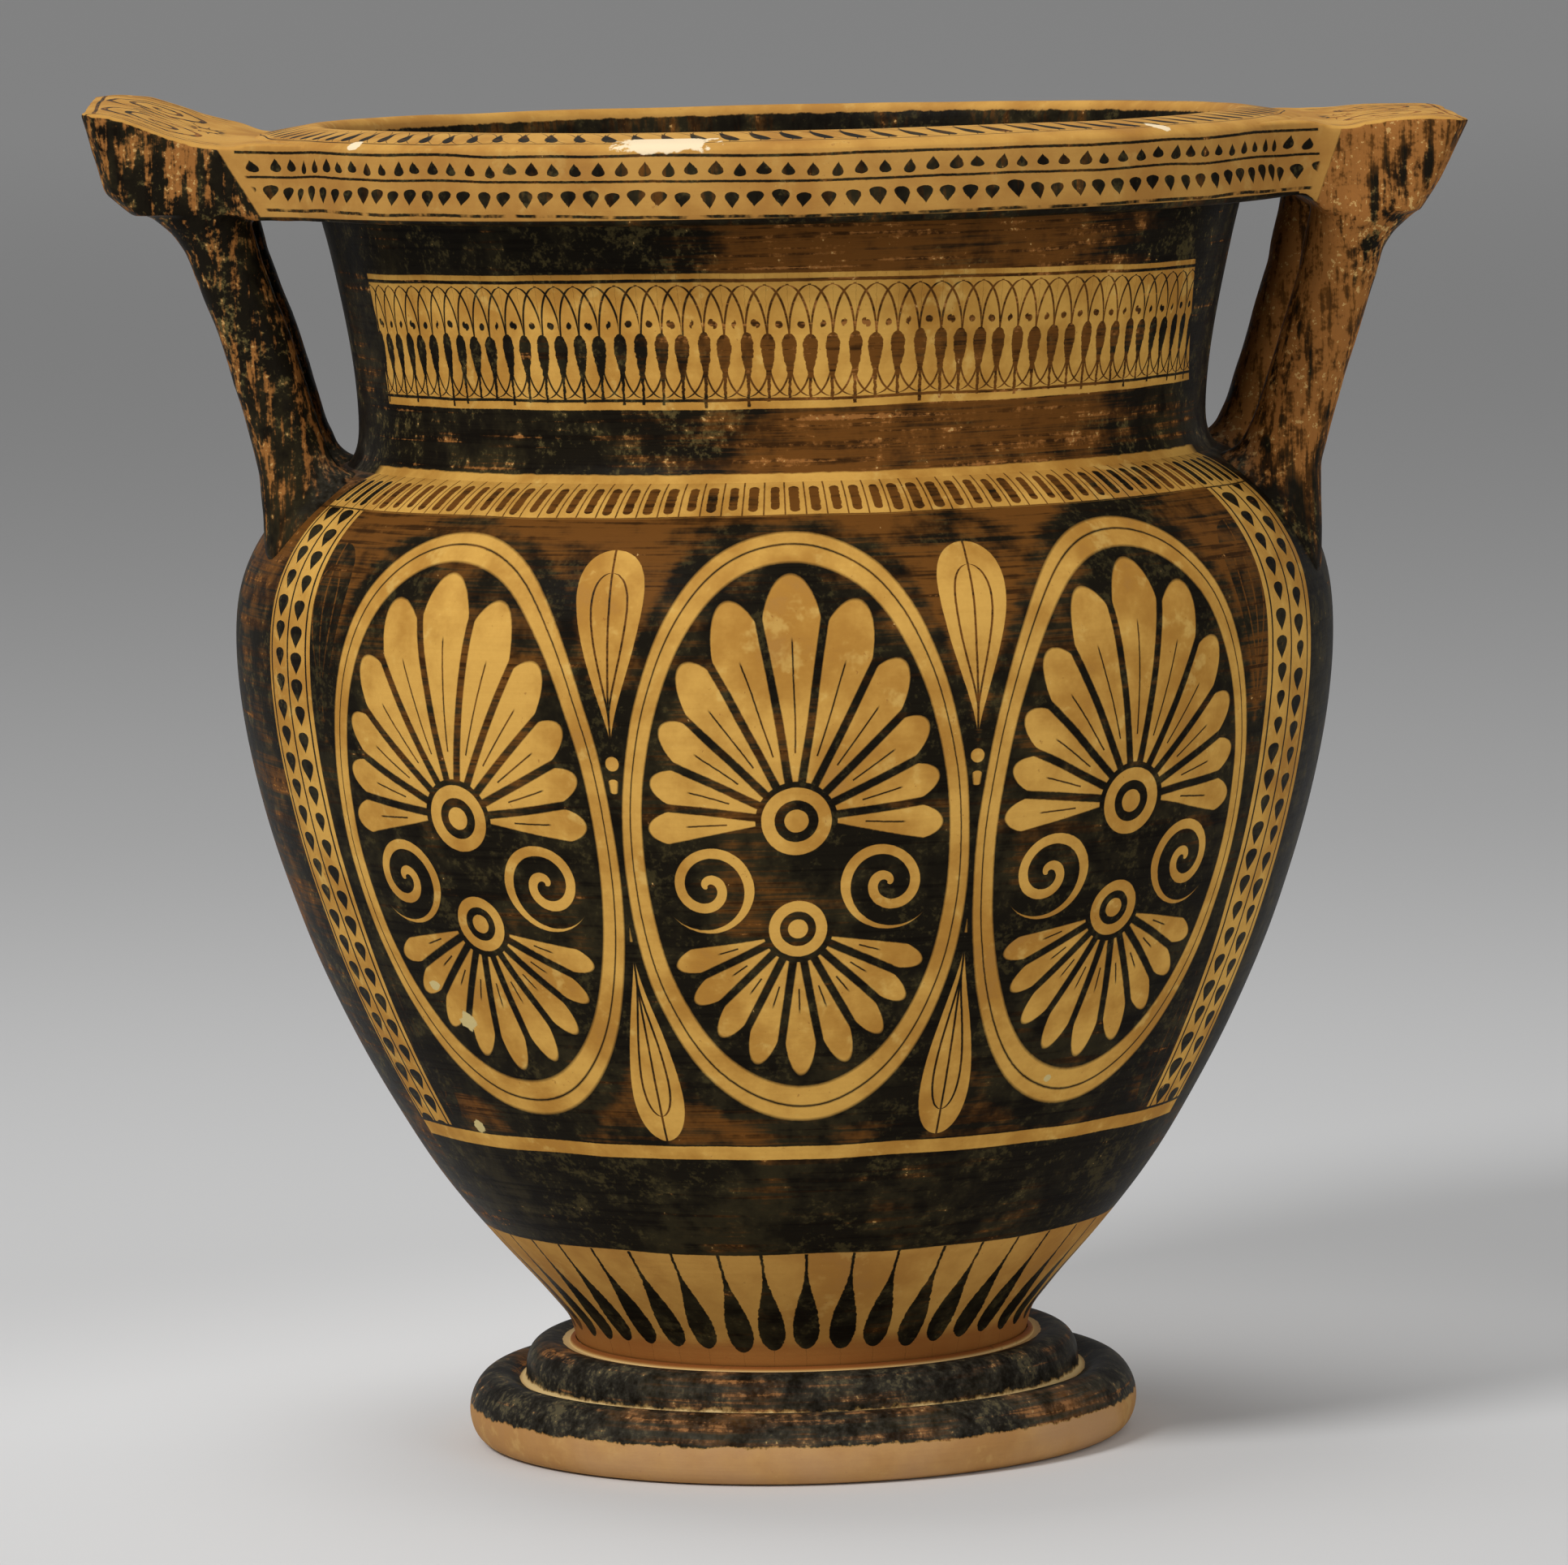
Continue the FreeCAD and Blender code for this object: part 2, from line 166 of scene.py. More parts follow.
def grain(tree, size, detail=2.0, rough=0.5):
    # unevenness of that size in millimetres, mostly between -0.5 and 0.5
    spot = tree.nodes.new("ShaderNodeTexCoord").outputs["Object"]
    moved = place(tree, "VectorMath", {0: spot, 1: (size, -size, size)}, operation="ADD")
    return (place(tree, "TexNoise", {"Vector": moved, "Scale": 1000 / size, "Detail": detail,
                                     "Roughness": rough}) - 0.5) * 2


def chance(value, shift=0.0):  # one random number for each whole value
    return place(value.tree, "TexWhiteNoise", {"W": value + shift}, noise_dimensions="1D") - 0.5


# Values that every pattern needs are worked out once, and handed to each group:
# millimetres, degrees round from the middle of the front, and five kinds of unevenness
surfaceNames = ("X", "Y", "Z", "Radius", "Turn", "Cloud", "Patch", "Dust", "Sway", "Ragged")
sources = {}


def shared(tree, *names):
    outputs = sources[tree.as_pointer()].outputs
    fields = [Field(tree, outputs[name]) for name in names]
    return fields if len(fields) > 1 else fields[0]


def newGroup(name, outputs, inputs=(), onSurface=True):
    tree = bpy.data.node_groups.new(name, "ShaderNodeTree")
    for label, kind in outputs:
        tree.interface.new_socket(label, in_out="OUTPUT", socket_type="NodeSocket" + kind)
    for label, kind, value in inputs:
        socket = tree.interface.new_socket(label, in_out="INPUT", socket_type="NodeSocket" + kind)
        if value is not None:
            socket.default_value = value
    if onSurface:
        for label in surfaceNames:
            tree.interface.new_socket(label, in_out="INPUT", socket_type="NodeSocketFloat")
    start = tree.nodes.new("NodeGroupInput")
    sources[tree.as_pointer()] = start
    return tree, start, tree.nodes.new("NodeGroupOutput")


def finish(tree, end, results):
    for name, value in results.items():
        feed(tree, end.inputs[name], value)
    return tree


def useGroup(tree, group, **inputs):
    node = tree.nodes.new("ShaderNodeGroup")
    node.node_tree = group
    for name in surfaceNames:
        if name in node.inputs:
            tree.links.new(sources[tree.as_pointer()].outputs[name], node.inputs[name])
    for name, value in inputs.items():
        feed(tree, node.inputs[name], value)
    return {socket.name: Field(tree, socket) for socket in node.outputs}


def makeSurface():
    tree, _, end = newGroup("surface", [(name, "Float") for name in surfaceNames], onSurface=False)
    spot = tree.nodes.new("ShaderNodeTexCoord").outputs["Object"]
    split = tree.nodes.new("ShaderNodeSeparateXYZ")
    tree.links.new(spot, split.inputs[0])
    x, y, z = (Field(tree, socket) * 1000 for socket in split.outputs)
    radius = (x * x + y * y).calc("SQRT")
    return finish(tree, end, {
        "X": x, "Y": y, "Z": z, "Radius": radius, "Turn": x.calc("ARCTAN2", -y) * math.degrees(1),
        "Cloud": grain(tree, 34, 2, 0.6), "Patch": grain(tree, 7, 3, 0.65),
        "Dust": grain(tree, 1.5, 2, 0.7),
        "Sway": grain(tree, 32, 1), "Ragged": grain(tree, 4, 3, 0.7)})


surface = makeSurface()


# Clay and black gloss

# the clay colour named shade is painted shade, laid on the lip and low on the body to darken them
clay = {"light": paintColour(217, 168, 83), "deep": paintColour(178, 127, 55), "pale": paintColour(224, 188, 108),
        "rust": paintColour(138, 82, 40), "stain": paintColour(164, 122, 74), "paintedShade": paintColour(160, 113, 62),
        "pink": paintColour(174, 136, 104), "cream": paintColour(222, 192, 134), "chip": paintColour(206, 186, 128),
        "plaster": paintColour(238, 216, 178), "rough": 0.56}
# the grey colour at the end is a painted sheen, a highlight painted into the gloss
gloss = {"black": paintColour(27, 23, 16), "olive": paintColour(58, 51, 32), "brown": paintColour(110, 69, 28),
         "dark": paintColour(18, 14, 10), "moss": paintColour(100, 88, 52), "orange": paintColour(166, 110, 56),
         "pale": paintColour(208, 168, 104), "paintedSheen": paintColour(112, 108, 98), "rough": 0.42}


def makeClayGround():
    tree, _, end = newGroup("clayGround", [("Color", "Color"), ("Roughness", "Float"), ("Height", "Float")])
    z, radius, turn = shared(tree, "Z", "Radius", "Turn")
    cloud, patch, dust = shared(tree, "Cloud", "Patch", "Dust")
    drawnOut = place(tree, "CombineXYZ", {"X": turn * 0.02, "Y": radius * 0.05, "Z": z * 0.9})
    wheel = place(tree, "TexNoise", {"Vector": drawnOut, "Scale": 1.0, "Detail": 2.0}) - 0.5  # faint turning lines
    colour = blend(tree, ramp(cloud + 0.4 * patch, -0.35, 0.35), clay["deep"], clay["light"])
    colour = blend(tree, ramp(patch - 0.5 * cloud, 0.2, 0.5) * 0.4, colour, clay["pale"])
    colour = blend(tree, ramp(cloud * -0.8 - patch * 0.5, 0.2, 0.5) * 0.3, colour, clay["stain"])
    colour = blend(tree, (wheel * 0.6 + dust * 0.3 + 0.1).calc("MAXIMUM", 0) * 0.55, colour, clay["deep"])
    colour = blend(tree, ramp(dust + patch * 0.3, 0.42, 0.55) * 0.45, colour, clay["rust"])
    colour = blend(tree, ramp(patch * 0.3 - dust, 0.45, 0.6) * 0.5, colour, clay["pale"])
    return finish(tree, end, {"Color": colour, "Roughness": clay["rough"] + dust * 0.08 + patch * 0.08,
                              "Height": dust * 0.03 + wheel * 0.09})


def makeBlackGloss():
    tree, start, end = newGroup("blackGloss", [("Color", "Color"), ("Roughness", "Float")],
                                [("Brush", "Vector", None), ("Brown", "Float", 0.4), ("Wear", "Float", 0.3),
                                 ("Haze", "Float", 0.0)])
    brush, brown, wear, paintedSheen = start.outputs[:4]
    streak = place(tree, "TexNoise", {"Vector": brush, "Scale": 1.0, "Detail": 4.0, "Roughness": 0.62})
    streak = (streak - 0.5) * 2
    cloud, patch, dust = shared(tree, "Cloud", "Patch", "Dust")
    brown, wear, paintedSheen = (Field(tree, socket) for socket in (brown, wear, paintedSheen))
    colour = blend(tree, ramp(cloud + patch * 0.7, -0.2, 0.4) * 0.6, gloss["black"], gloss["olive"])
    mossy = ramp(patch * 0.9 + dust * 0.8 - cloud * 0.5, 0.1, 0.5)
    colour = blend(tree, mossy * wear * 0.9, colour, gloss["moss"])
    thin = ramp(cloud * 0.9 + streak * 1.1 + patch * 0.45 + brown * 1.3 - 0.75, -0.25, 0.45)
    colour = blend(tree, thin, colour, gloss["brown"])
    colour = blend(tree, ramp(streak * 1.3 - patch * 0.4, 0.0, 0.4) * 0.75, colour, gloss["dark"])
    rubbed = ramp(streak * 1.1 + patch * 0.7 + dust * 0.4 + cloud * 0.3 + wear * 0.75 - 0.72, 0.0, 0.35)
    colour = blend(tree, rubbed * 0.85, colour, gloss["orange"])
    flecks = ramp(dust * 1.15 + patch * 0.8 + streak * 0.45 + wear * 0.4 - 0.85, 0.0, 0.12)
    colour = blend(tree, flecks * 0.75, colour, gloss["pale"])
    # the grey laid over the gloss here is a painted sheen, a highlight painted into the colour
    colour = blend(tree, paintedSheen * ramp(patch + dust * 0.6, -0.5, 0.5), colour, gloss["paintedSheen"])
    rough = gloss["rough"] + rubbed * 0.2 + flecks * 0.2 + thin * 0.06 + paintedSheen * 0.2 + dust * 0.08
    return finish(tree, end, {"Color": colour, "Roughness": rough})


clayGround = makeClayGround()
blackGloss = makeBlackGloss()


# Ornament

def drop(across, along, half, reach):
    # a leaf with a round end below and its point above; inside where the result is below zero
    share = along / reach
    width = ((1 - share * share).calc("MAXIMUM", 0)).calc("SQRT") * (1 - share) * (0.77 * half)
    return abs(across) - width + 0.15


def repeat(value, step):
    # the distance from the middle of the nearest copy, and that copy's number
    count = (value / step).calc("ROUND")
    return value - count * step, count


def arcLength(turn, radius):
    return radius * (turn * math.radians(1)) if isinstance(turn, float) else turn * radius * math.radians(1)


# each row of leaves: its level, which way up, how far it is shifted round, and the leaf's half width
lipRows = {"step": 2.5, "rows": ((355.3, 1, 0.0, 1.9), (347.2, -1, 0.9, 2.3)), "middle": 352.0,
           "topLine": 358.6, "footLine": 342.9}
lipChain = {"slant": 0.28, "step": 3.4, "middle": 134.0, "half": 2.0, "reach": 5.6, "loop": 3.4}
saddle = {"rise": 0.8, "tilt": -0.5, "radius": 145.0}


def makeRimPaint():
    # the leaf rows of the lip's face and the slanting chain on its top
    tree, _, end = newGroup("rimPaint", [("Face", "Float"), ("Top", "Float")])
    x, z, radius, turn = shared(tree, "X", "Z", "Radius", "Turn")
    part = x / saddle["radius"]
    sway, tremble, patch = shared(tree, "Sway", "Dust", "Patch")
    level = z - part * part * saddle["rise"] - part * saddle["tilt"] + sway * 0.9 + tremble * 0.15
    rows = []
    for middle, flip, shift, half in lipRows["rows"]:
        across, count = repeat(turn + shift, lipRows["step"])
        luck, second = chance(count, middle), chance(count, middle + 7.3)
        along = (level - middle - luck * 0.8) * flip
        lean = part * 0.25 + second * 0.4
        across = arcLength(across, radius) - second * 1.0 - lean * along + tremble * 0.3
        rows.append(inside(drop(across, along, half + luck * 0.6, half + second * 0.6)))
    worn = ramp(patch, -0.3, 0.05)
    lines = either(stroke(level - lipRows["topLine"], 0.38), stroke(level - lipRows["middle"], 0.34),
                   stroke(level - lipRows["footLine"], 0.42) * worn)
    slanted, step = turn - radius * lipChain["slant"], lipChain["step"]
    bar, count = repeat(slanted, step)
    luck = chance(count, 3.1)
    along = radius - lipChain["middle"] + sway * 1.5
    bar = arcLength(bar, radius)
    chain = inside(drop(bar + along * 0.15, -along, lipChain["half"] + luck * 0.5, lipChain["reach"]), 0.3)
    gap = arcLength(repeat(slanted + step / 2, step)[0], radius)
    loop = abs(gap) - (1 - (along * along / 42).calc("MINIMUM", 1)).calc("SQRT") * lipChain["loop"]
    chain = either(chain, stroke(loop, 0.16) * span(along, -6, 6), stroke(along + 6.3, 0.25),
                   stroke(along - 6.6, 0.2))
    return finish(tree, end, {"Face": either(lines, *rows), "Top": chain})


plateArt = {"centre": 167.5, "volute": 19.0, "pitch": 6.4, "reach": 15.5, "line": 0.95, "root": 13.0,
            "petalStep": 26.0, "rail": 41.5, "endRail": 16.5}


def volute(across, along, pitch, reach, half, turnWay=1):
    # a spiral line round the point where both values are zero
    distance = (across * across + along * along).calc("SQRT")
    angle = along.calc("ARCTAN2", across) * (turnWay * pitch / math.tau)
    return stroke((distance - angle).calc("PINGPONG", pitch / 2), half) * inside(distance - reach)


def makePlateArt():
    tree, _, end = newGroup("plateArt", [("Paint", "Float")])
    x, y = shared(tree, "X", "Y")
    tremble, sway, patch = shared(tree, "Dust", "Sway", "Patch")
    along = abs(x) - plateArt["centre"] + tremble * 0.25 + sway * 1.2
    across = abs(y + sway * 1.2)
    curls = volute(across - plateArt["volute"], along, plateArt["pitch"], plateArt["reach"],
                   plateArt["line"])
    root = along + plateArt["root"]
    angle, _ = repeat(across.calc("ARCTAN2", root) * math.degrees(1), plateArt["petalStep"])
    length = (across * across + root * root).calc("SQRT")
    share = (length - 12) / 8
    width = (1 - share * share).calc("MAXIMUM", 0).calc("SQRT") * 2.6
    petals = stroke(abs(arcLength(angle, length)) - width, 0.6)
    petals = petals * span(length, 3, 20) * inside(across - 9.5)
    rail = plateArt["rail"]
    rails = either(stroke(across - rail, 0.5), stroke(along - plateArt["endRail"], 0.5) * inside(across - rail),
                   stroke(across - (rail - 4.0), 0.3))
    return finish(tree, end, {"Paint": either(curls, petals, rails) * ramp(patch, -0.5, -0.25)})


frieze = {"step": 2.76, "left": -66.5, "right": 66.2, "top": 327.2, "ground": 324.9, "dot": 313.9,
          "budTop": 311.5, "budWide": 308.5, "budFoot": 297.8, "loops": 304.6, "floor": 294.7, "base": 291.9}


def archLine(across, along, reach, height, half):
    # half an oval's line, standing on the level where along is zero
    share = along / height
    curve = (1 - share * share).calc("MAXIMUM", 0).calc("SQRT") * reach
    line = stroke((abs(across) - curve) * (1.25 - abs(share) * 0.5), half)
    return line * inside(-along) * inside(along - height - half)


def makeNeckPaint():
    # 1 where the neck is black: all but the framed chain of buds
    tree, _, end = newGroup("neckPaint", [("Paint", "Float"), ("Brown", "Float")])
    x, z, radius, turn = shared(tree, "X", "Z", "Radius", "Turn")
    sway, tremble = shared(tree, "Sway", "Dust")
    part = x / 120
    low = part * 0.3 - 0.6  # the frieze isn't quite level
    high = -(part * 0.9 + part * part * 2.1)
    tall = frieze["top"] - frieze["base"]
    level = (z - frieze["base"] - low) * tall / (high - low + tall) + frieze["base"]
    level = level + sway * 0.6 + tremble * 0.12
    side = ((abs(turn) - 90).calc("SIGN") + 1) * 90  # the back repeats the front
    wavy = turn - turn.calc("SIGN") * side + sway * 0.35
    step = frieze["step"]
    across, count = repeat(wavy, step)
    luck = chance(count, 1.7)
    across = arcLength(across, radius) + luck * 0.6
    club = ramp(level, frieze["budFoot"], frieze["budWide"]) * (1.45 + luck * 0.4) + 0.42
    cap = (level - frieze["budTop"] + 3.2 + luck * 0.8).calc("MAXIMUM", 0) / 3.2
    club = club * (1 - cap * cap).calc("MAXIMUM", 0).calc("SQRT")
    bud = inside(abs(across + tremble * 0.5) - club) * inside(frieze["floor"] - 1.2 + luck * 2.4 - level)
    gap = arcLength(repeat(wavy + step / 2, step)[0], radius) - luck * 0.9
    rise = level - frieze["dot"] + luck * 0.8
    dot = inside((gap * gap + rise * rise).calc("SQRT") - 0.95 + tremble * 0.3)
    reachOut = arcLength(step, radius)
    upper, lower = frieze["ground"] - frieze["budTop"] + 0.6, frieze["loops"] - frieze["floor"] - 0.3
    arcs = []
    for shift in (0, step):  # each arc spans two buds
        reach = arcLength(repeat(wavy + shift, 2 * step)[0], radius) + sway * 0.8
        arcs.append(archLine(reach, level - frieze["budTop"] + 1.5, reachOut, upper, 0.32))
        arcs.append(archLine(reach, frieze["loops"] - level, reachOut, lower, 0.28))
    lines = either(span(level, frieze["ground"], frieze["ground"] + 0.9),
                   span(level, frieze["floor"] - 0.8, frieze["floor"]))
    width = span(wavy + (z - 309.5) * ramp(wavy, 0, 60) * 0.156, frieze["left"], frieze["right"])
    frame = width * span(level, frieze["base"], frieze["top"])
    paint = either(bud, dot, lines, *arcs)
    brown = ramp(x, -70, 10) * (1 - ramp(x, 70, 112)) * 0.62 + 0.26
    return finish(tree, end, {"Paint": either(1 - frame, paint), "Brown": brown})


# the rings' half width and height, middle level, step round, shift and band; and for the buds between
# them the level, which way up, and the half widths of leaf and inner line
palmette = {"half": 46.0, "tall": 80.5, "level": 183.5, "step": 37.3, "shift": -0.8, "band": 0.885,
            "fillers": ((232.0, -1, 9.5, 5.2), (124.0, 1, 7.0, 3.8))}


def fan(across, along, edge, petals, spread, core):
    # petals that open from a point; inside a shape whose edge value is below one
    angle = across.calc("ARCTAN2", along)
    width = 2 * spread / (petals - 1)
    part, _ = repeat(angle, width)
    length = (across * across + along * along).calc("SQRT")
    gap = (width / 2 - abs(part)) * length
    share = abs(part) * (2 / width)
    shape = inside(edge + share * share * 0.17 - (palmette["band"] - 0.045), 0.012)
    shape = shape * inside(1.1 - gap, 0.35) * inside(core + 1.6 - length)
    shape = shape * inside(abs(angle) - spread - width / 2, 0.02)
    rib = stroke(abs(part) * length, 0.22, 0.25) * inside(core + 9 - length) * inside(edge - 0.62, 0.02)
    heart = either(inside(length - core * 0.34), span(length, core * 0.62, core))
    return either(shape * (1 - rib), heart)


def makePanelDesign():
    # 1 where the clay is left bare: tall rings that hold paired palmettes and volutes
    given = [("Turn", "Float", 0), ("Rise", "Float", 0), ("Radius", "Float", 150)]
    tree, start, end = newGroup("panelDesign", [("Bare", "Float"), ("Thin", "Float")], given)
    turn, rise, radius = (Field(tree, socket) for socket in start.outputs[:3])
    turn, step = turn - palmette["shift"], palmette["step"]
    across = arcLength(repeat(turn, step)[0], radius)
    along = rise - palmette["level"]
    wide, tall = across / palmette["half"], along / palmette["tall"]
    edge = (wide * wide + tall * tall).calc("SQRT")
    ring = span(edge, palmette["band"], 1.0, 0.012) * (1 - stroke(edge - 0.952, 0.004, 0.006))
    upper = fan(across, along - 2, edge, 11, math.radians(92), 9.0)
    lower = fan(across, -along - 27, edge, 9, math.radians(72), 7.5)
    curls = volute(abs(across) - 23.5, along + 15.5, 7.4, 12.5, 1.35)
    whole = inside(abs(turn) - step * 1.5, 0.12)  # three whole rings, no parts
    bare = either(upper, lower, curls * inside(edge - 0.84, 0.02), ring) * whole
    gap = arcLength(repeat(turn + step / 2, step)[0], radius)
    buds = []
    for level, flip, outer, core in palmette["fillers"]:
        away = (rise - level) * flip
        heart = stroke(drop(gap, away, core, 20.0), 0.3)
        buds.append(inside(drop(gap, away, outer, 27.0)) * (1 - heart) * (1 - stroke(gap, 0.3)))
        for drift, down in ((0, 31), (0, 37), (6.5, 25)):
            aside, above = abs(gap) - drift, away - down
            buds.append(inside((aside * aside + above * above).calc("SQRT") - 1.9))
    buds = either(*buds)
    fillers = buds * inside(1.035 - edge, 0.012) * inside(abs(turn) - step, 0.12)
    # the gloss is dense beside the drawing and thin where it only fills the ground
    thin = ramp(edge, 1.04, 1.12) * (1 - buds) + ramp(0.8 - edge, 0, 0.1) * 0.25
    return finish(tree, end, {"Bare": either(bare, fillers), "Thin": thin})


panelDesign = makePanelDesign()

bodyBands = {"rayFoot": 32.6, "rayTop": 62.8, "rays": 44, "bandTop": 91.6, "strip": 95.8, "panelTop": 270.0,
             "tongueTop": 285.2, "tongueStep": 2.42, "left": (-67.6, -63.6, -59.6), "right": (58.2, 62.7, 67.4),
             "beadStep": 7.2, "beadHalf": 3.1}
shoulder = {"centre": 103.35, "level": 227.0, "radius": 48.05, "neck": 116.2}


def makeBodyPaint():
    tree, _, end = newGroup("bodyPaint", [(name, "Float") for name in ("Paint", "Brown", "Rust", "Haze")])
    x, z, radius, turn = shared(tree, "X", "Z", "Radius", "Turn")
    sway, tremble, cloud = shared(tree, "Sway", "Dust", "Cloud")
    bend = (z - shoulder["level"]).calc("ARCTAN2", radius - shoulder["centre"]) * shoulder["radius"]
    over = (z - shoulder["level"]).calc("GREATER_THAN", 0.0)
    rise = z * (1 - over) + (bend + shoulder["level"]) * over  # way up the outside
    rise = rise + sway * 0.7 + tremble * 0.12
    back = ((abs(turn) - 90).calc("SIGN") + 1) * 90
    front = turn - turn.calc("SIGN") * back + sway * 0.25 + tremble * 0.04
    # rays round the foot
    ray, count = repeat(turn, 360 / bodyBands["rays"])
    luck = chance(count, 5.5)
    share = (bodyBands["rayTop"] - z) / (bodyBands["rayTop"] - bodyBands["rayFoot"]) + luck * 0.04
    tail = ((share - 0.8) / 0.2).calc("MAXIMUM", 0)
    width = (ramp(share, 0.18, 0.78) * 3.2 + 0.42) * (1 - tail * tail).calc("MAXIMUM", 0).calc("SQRT")
    ray = arcLength(ray, radius) + luck * 1.2 + tremble * 0.5
    rays = inside(abs(ray) - width) * inside(z - bodyBands["rayTop"])
    # side borders: two rows of leaves between thin lines
    borders = []
    for lines in (bodyBands["left"], bodyBands["right"]):
        for line in lines:
            borders.append(stroke(arcLength(front - line, radius), 0.42))
        for low, high, shift in ((lines[0], lines[1], 0.0), (lines[1], lines[2], 3.4)):
            along, count = repeat(rise + shift + low * 3, bodyBands["beadStep"])
            luck = chance(count, low)
            across, half = arcLength(front - (low + high) / 2, radius) + luck * 0.9, bodyBands["beadHalf"]
            borders.append(inside(drop(across, -along - luck * 0.6, half + luck * 0.9, half + luck * 0.6)))
    borders = either(*borders)
    inPanel = span(front, bodyBands["left"][2] + 0.9, bodyBands["right"][0] - 1.0, 0.12)
    inFrame = span(front, bodyBands["left"][0] - 0.6, bodyBands["right"][2] + 1.2, 0.12)
    design = useGroup(tree, panelDesign, Turn=front, Rise=rise, Radius=radius)
    panel = (1 - design["Bare"]) * inPanel
    middle = either(panel, borders * (1 - inPanel)) * inside(bodyBands["strip"] - rise)
    middle = either(middle, stroke(rise - bodyBands["strip"], 0.4))
    # tongues on the shoulder
    bar, count = repeat(front, bodyBands["tongueStep"])
    luck = chance(count, 9.1)
    half, reach = 1.25 + luck * 0.3, 5.6 + luck * 0.9
    centre = (bodyBands["panelTop"] + bodyBands["tongueTop"]) / 2
    along = (abs(rise - centre + luck * 0.6) - reach + half).calc("MAXIMUM", 0)
    bar = arcLength(bar, radius) + luck * 0.5
    tongue = inside((bar * bar + along * along).calc("SQRT") - half + tremble * 0.3)
    between = repeat(front + bodyBands["tongueStep"] / 2, bodyBands["tongueStep"])[0]
    rail = stroke(arcLength(between, radius), 0.2, 0.25)
    upper = either(tongue, rail, inside(rise - bodyBands["panelTop"] - 0.5, 0.35))
    middle = either(middle * inside(rise - bodyBands["panelTop"]),
                    upper * inside(bodyBands["panelTop"] - rise))
    body = either(middle * inFrame, 1 - inFrame) * inside(bodyBands["bandTop"] - rise)
    low = either(rays, span(rise, bodyBands["rayTop"], bodyBands["bandTop"] + 0.3 * (1 - inFrame)))
    paint = either(body, low) * inside(z - 275)
    rust = ramp(36.0 - z + sway * 2.5, -1.5, 3.0)
    brown = (ramp(rise, 150, 262) * 0.35 + design["Thin"] * 0.4 + cloud * 0.3 + 0.12) * inPanel
    side = (1 - inFrame) * (ramp(-x, 0, 60) * 0.42 + 0.1)
    band = inside(rise - bodyBands["strip"])
    brown = brown * (1 - band) + side + band * ramp(x, -60, 0) * 0.26
    # a grey painted sheen on the shoulder's sides beside the handles
    paintedSheen = ramp(abs(turn), 62, 72) * (1 - ramp(abs(turn), 84, 96)) * ramp(rise, 272, 288) * 0.35
    return finish(tree, end, {"Paint": paint, "Brown": brown, "Rust": rust, "Haze": paintedSheen})


rimPaint, plateArt, neckPaint, bodyPaint = makeRimPaint(), makePlateArt(), makeNeckPaint(), makeBodyPaint()
print("paint groups ready")


# Materials

def brushAround(tree):
    # a space drawn out round the pot, for brush strokes laid on the turning wheel
    z, radius, turn = shared(tree, "Z", "Radius", "Turn")
    return place(tree, "CombineXYZ", {"X": turn * 0.035, "Y": radius * 0.03, "Z": z * 0.7})


def brushUp(tree):
    # the same for strokes laid along a column
    x, y, z = shared(tree, "X", "Y", "Z")
    return place(tree, "CombineXYZ", {"X": x * 0.42, "Y": y * 0.42, "Z": z * 0.035})


def makeMaterial(name, layers):
    # layers gives the paint mask and the gloss's brown, wear and painted sheen, and may tint the clay, with stains
    # or with painted shade
    material = bpy.data.materials.new(name)
    material.use_nodes = True
    tree = material.node_tree
    shader = tree.nodes["Principled BSDF"]
    shape = tree.nodes.new("ShaderNodeGroup")
    shape.node_tree = surface
    sources[tree.as_pointer()] = shape
    facts = layers(tree)
    ground = useGroup(tree, clayGround)
    brush = facts.get("brush") or brushAround(tree)
    black = useGroup(tree, blackGloss, Brush=brush, Brown=facts.get("brown", 0.3),
                     Wear=facts.get("wear", 0.3), Haze=facts.get("paintedSheen", 0.0))
    colour = ground["Color"]
    # the tints lay stains and reserved lines on the clay, and also painted shade
    for share, tint in facts.get("tints", ()):
        colour = blend(tree, share, colour, tint)
    paint = facts["paint"]
    colour = blend(tree, paint, colour, black["Color"])
    for share, tint in facts.get("over", ()):
        colour = blend(tree, share, colour, tint)
    rough = ground["Roughness"] * (1 - paint) + black["Roughness"] * paint
    bump = tree.nodes.new("ShaderNodeBump")
    bump.inputs["Strength"].default_value = 0.8
    bump.inputs["Distance"].default_value = mm
    feed(tree, bump.inputs["Height"], ground["Height"])
    feed(tree, shader.inputs["Base Color"], colour)
    feed(tree, shader.inputs["Roughness"], rough)
    tree.links.new(bump.outputs["Normal"], shader.inputs["Normal"])
    shader.inputs["Specular IOR Level"].default_value = 0.02
    return material


# small knocks, each given by its place round and up the pot and its half width and height
bodyKnocks = ((-44.6, 128.5, 1.3, 2.6), (-51.5, 97.5, 1.0, 1.8), (-48.3, 138.0, 0.8, 1.4),
              (33.0, 110.0, 0.6, 0.9))
lipFills = ((-13.2, 361.6, 5.0, 2.4), (-52.8, 361.8, 1.0, 1.0), (44.5, 362.0, 0.9, 1.1))


def chips(tree, turn, z, spots):
    ragged = [unevenness * 0.9 for unevenness in shared(tree, "Ragged", "Patch")]
    masks = []
    for middle, level, half, tall in spots:
        here, rise = (turn - middle) / half + ragged[0], (z - level) / tall + ragged[1]
        masks.append(inside((here * here + rise * rise).calc("SQRT") - 1, 0.15))
    return either(*masks)


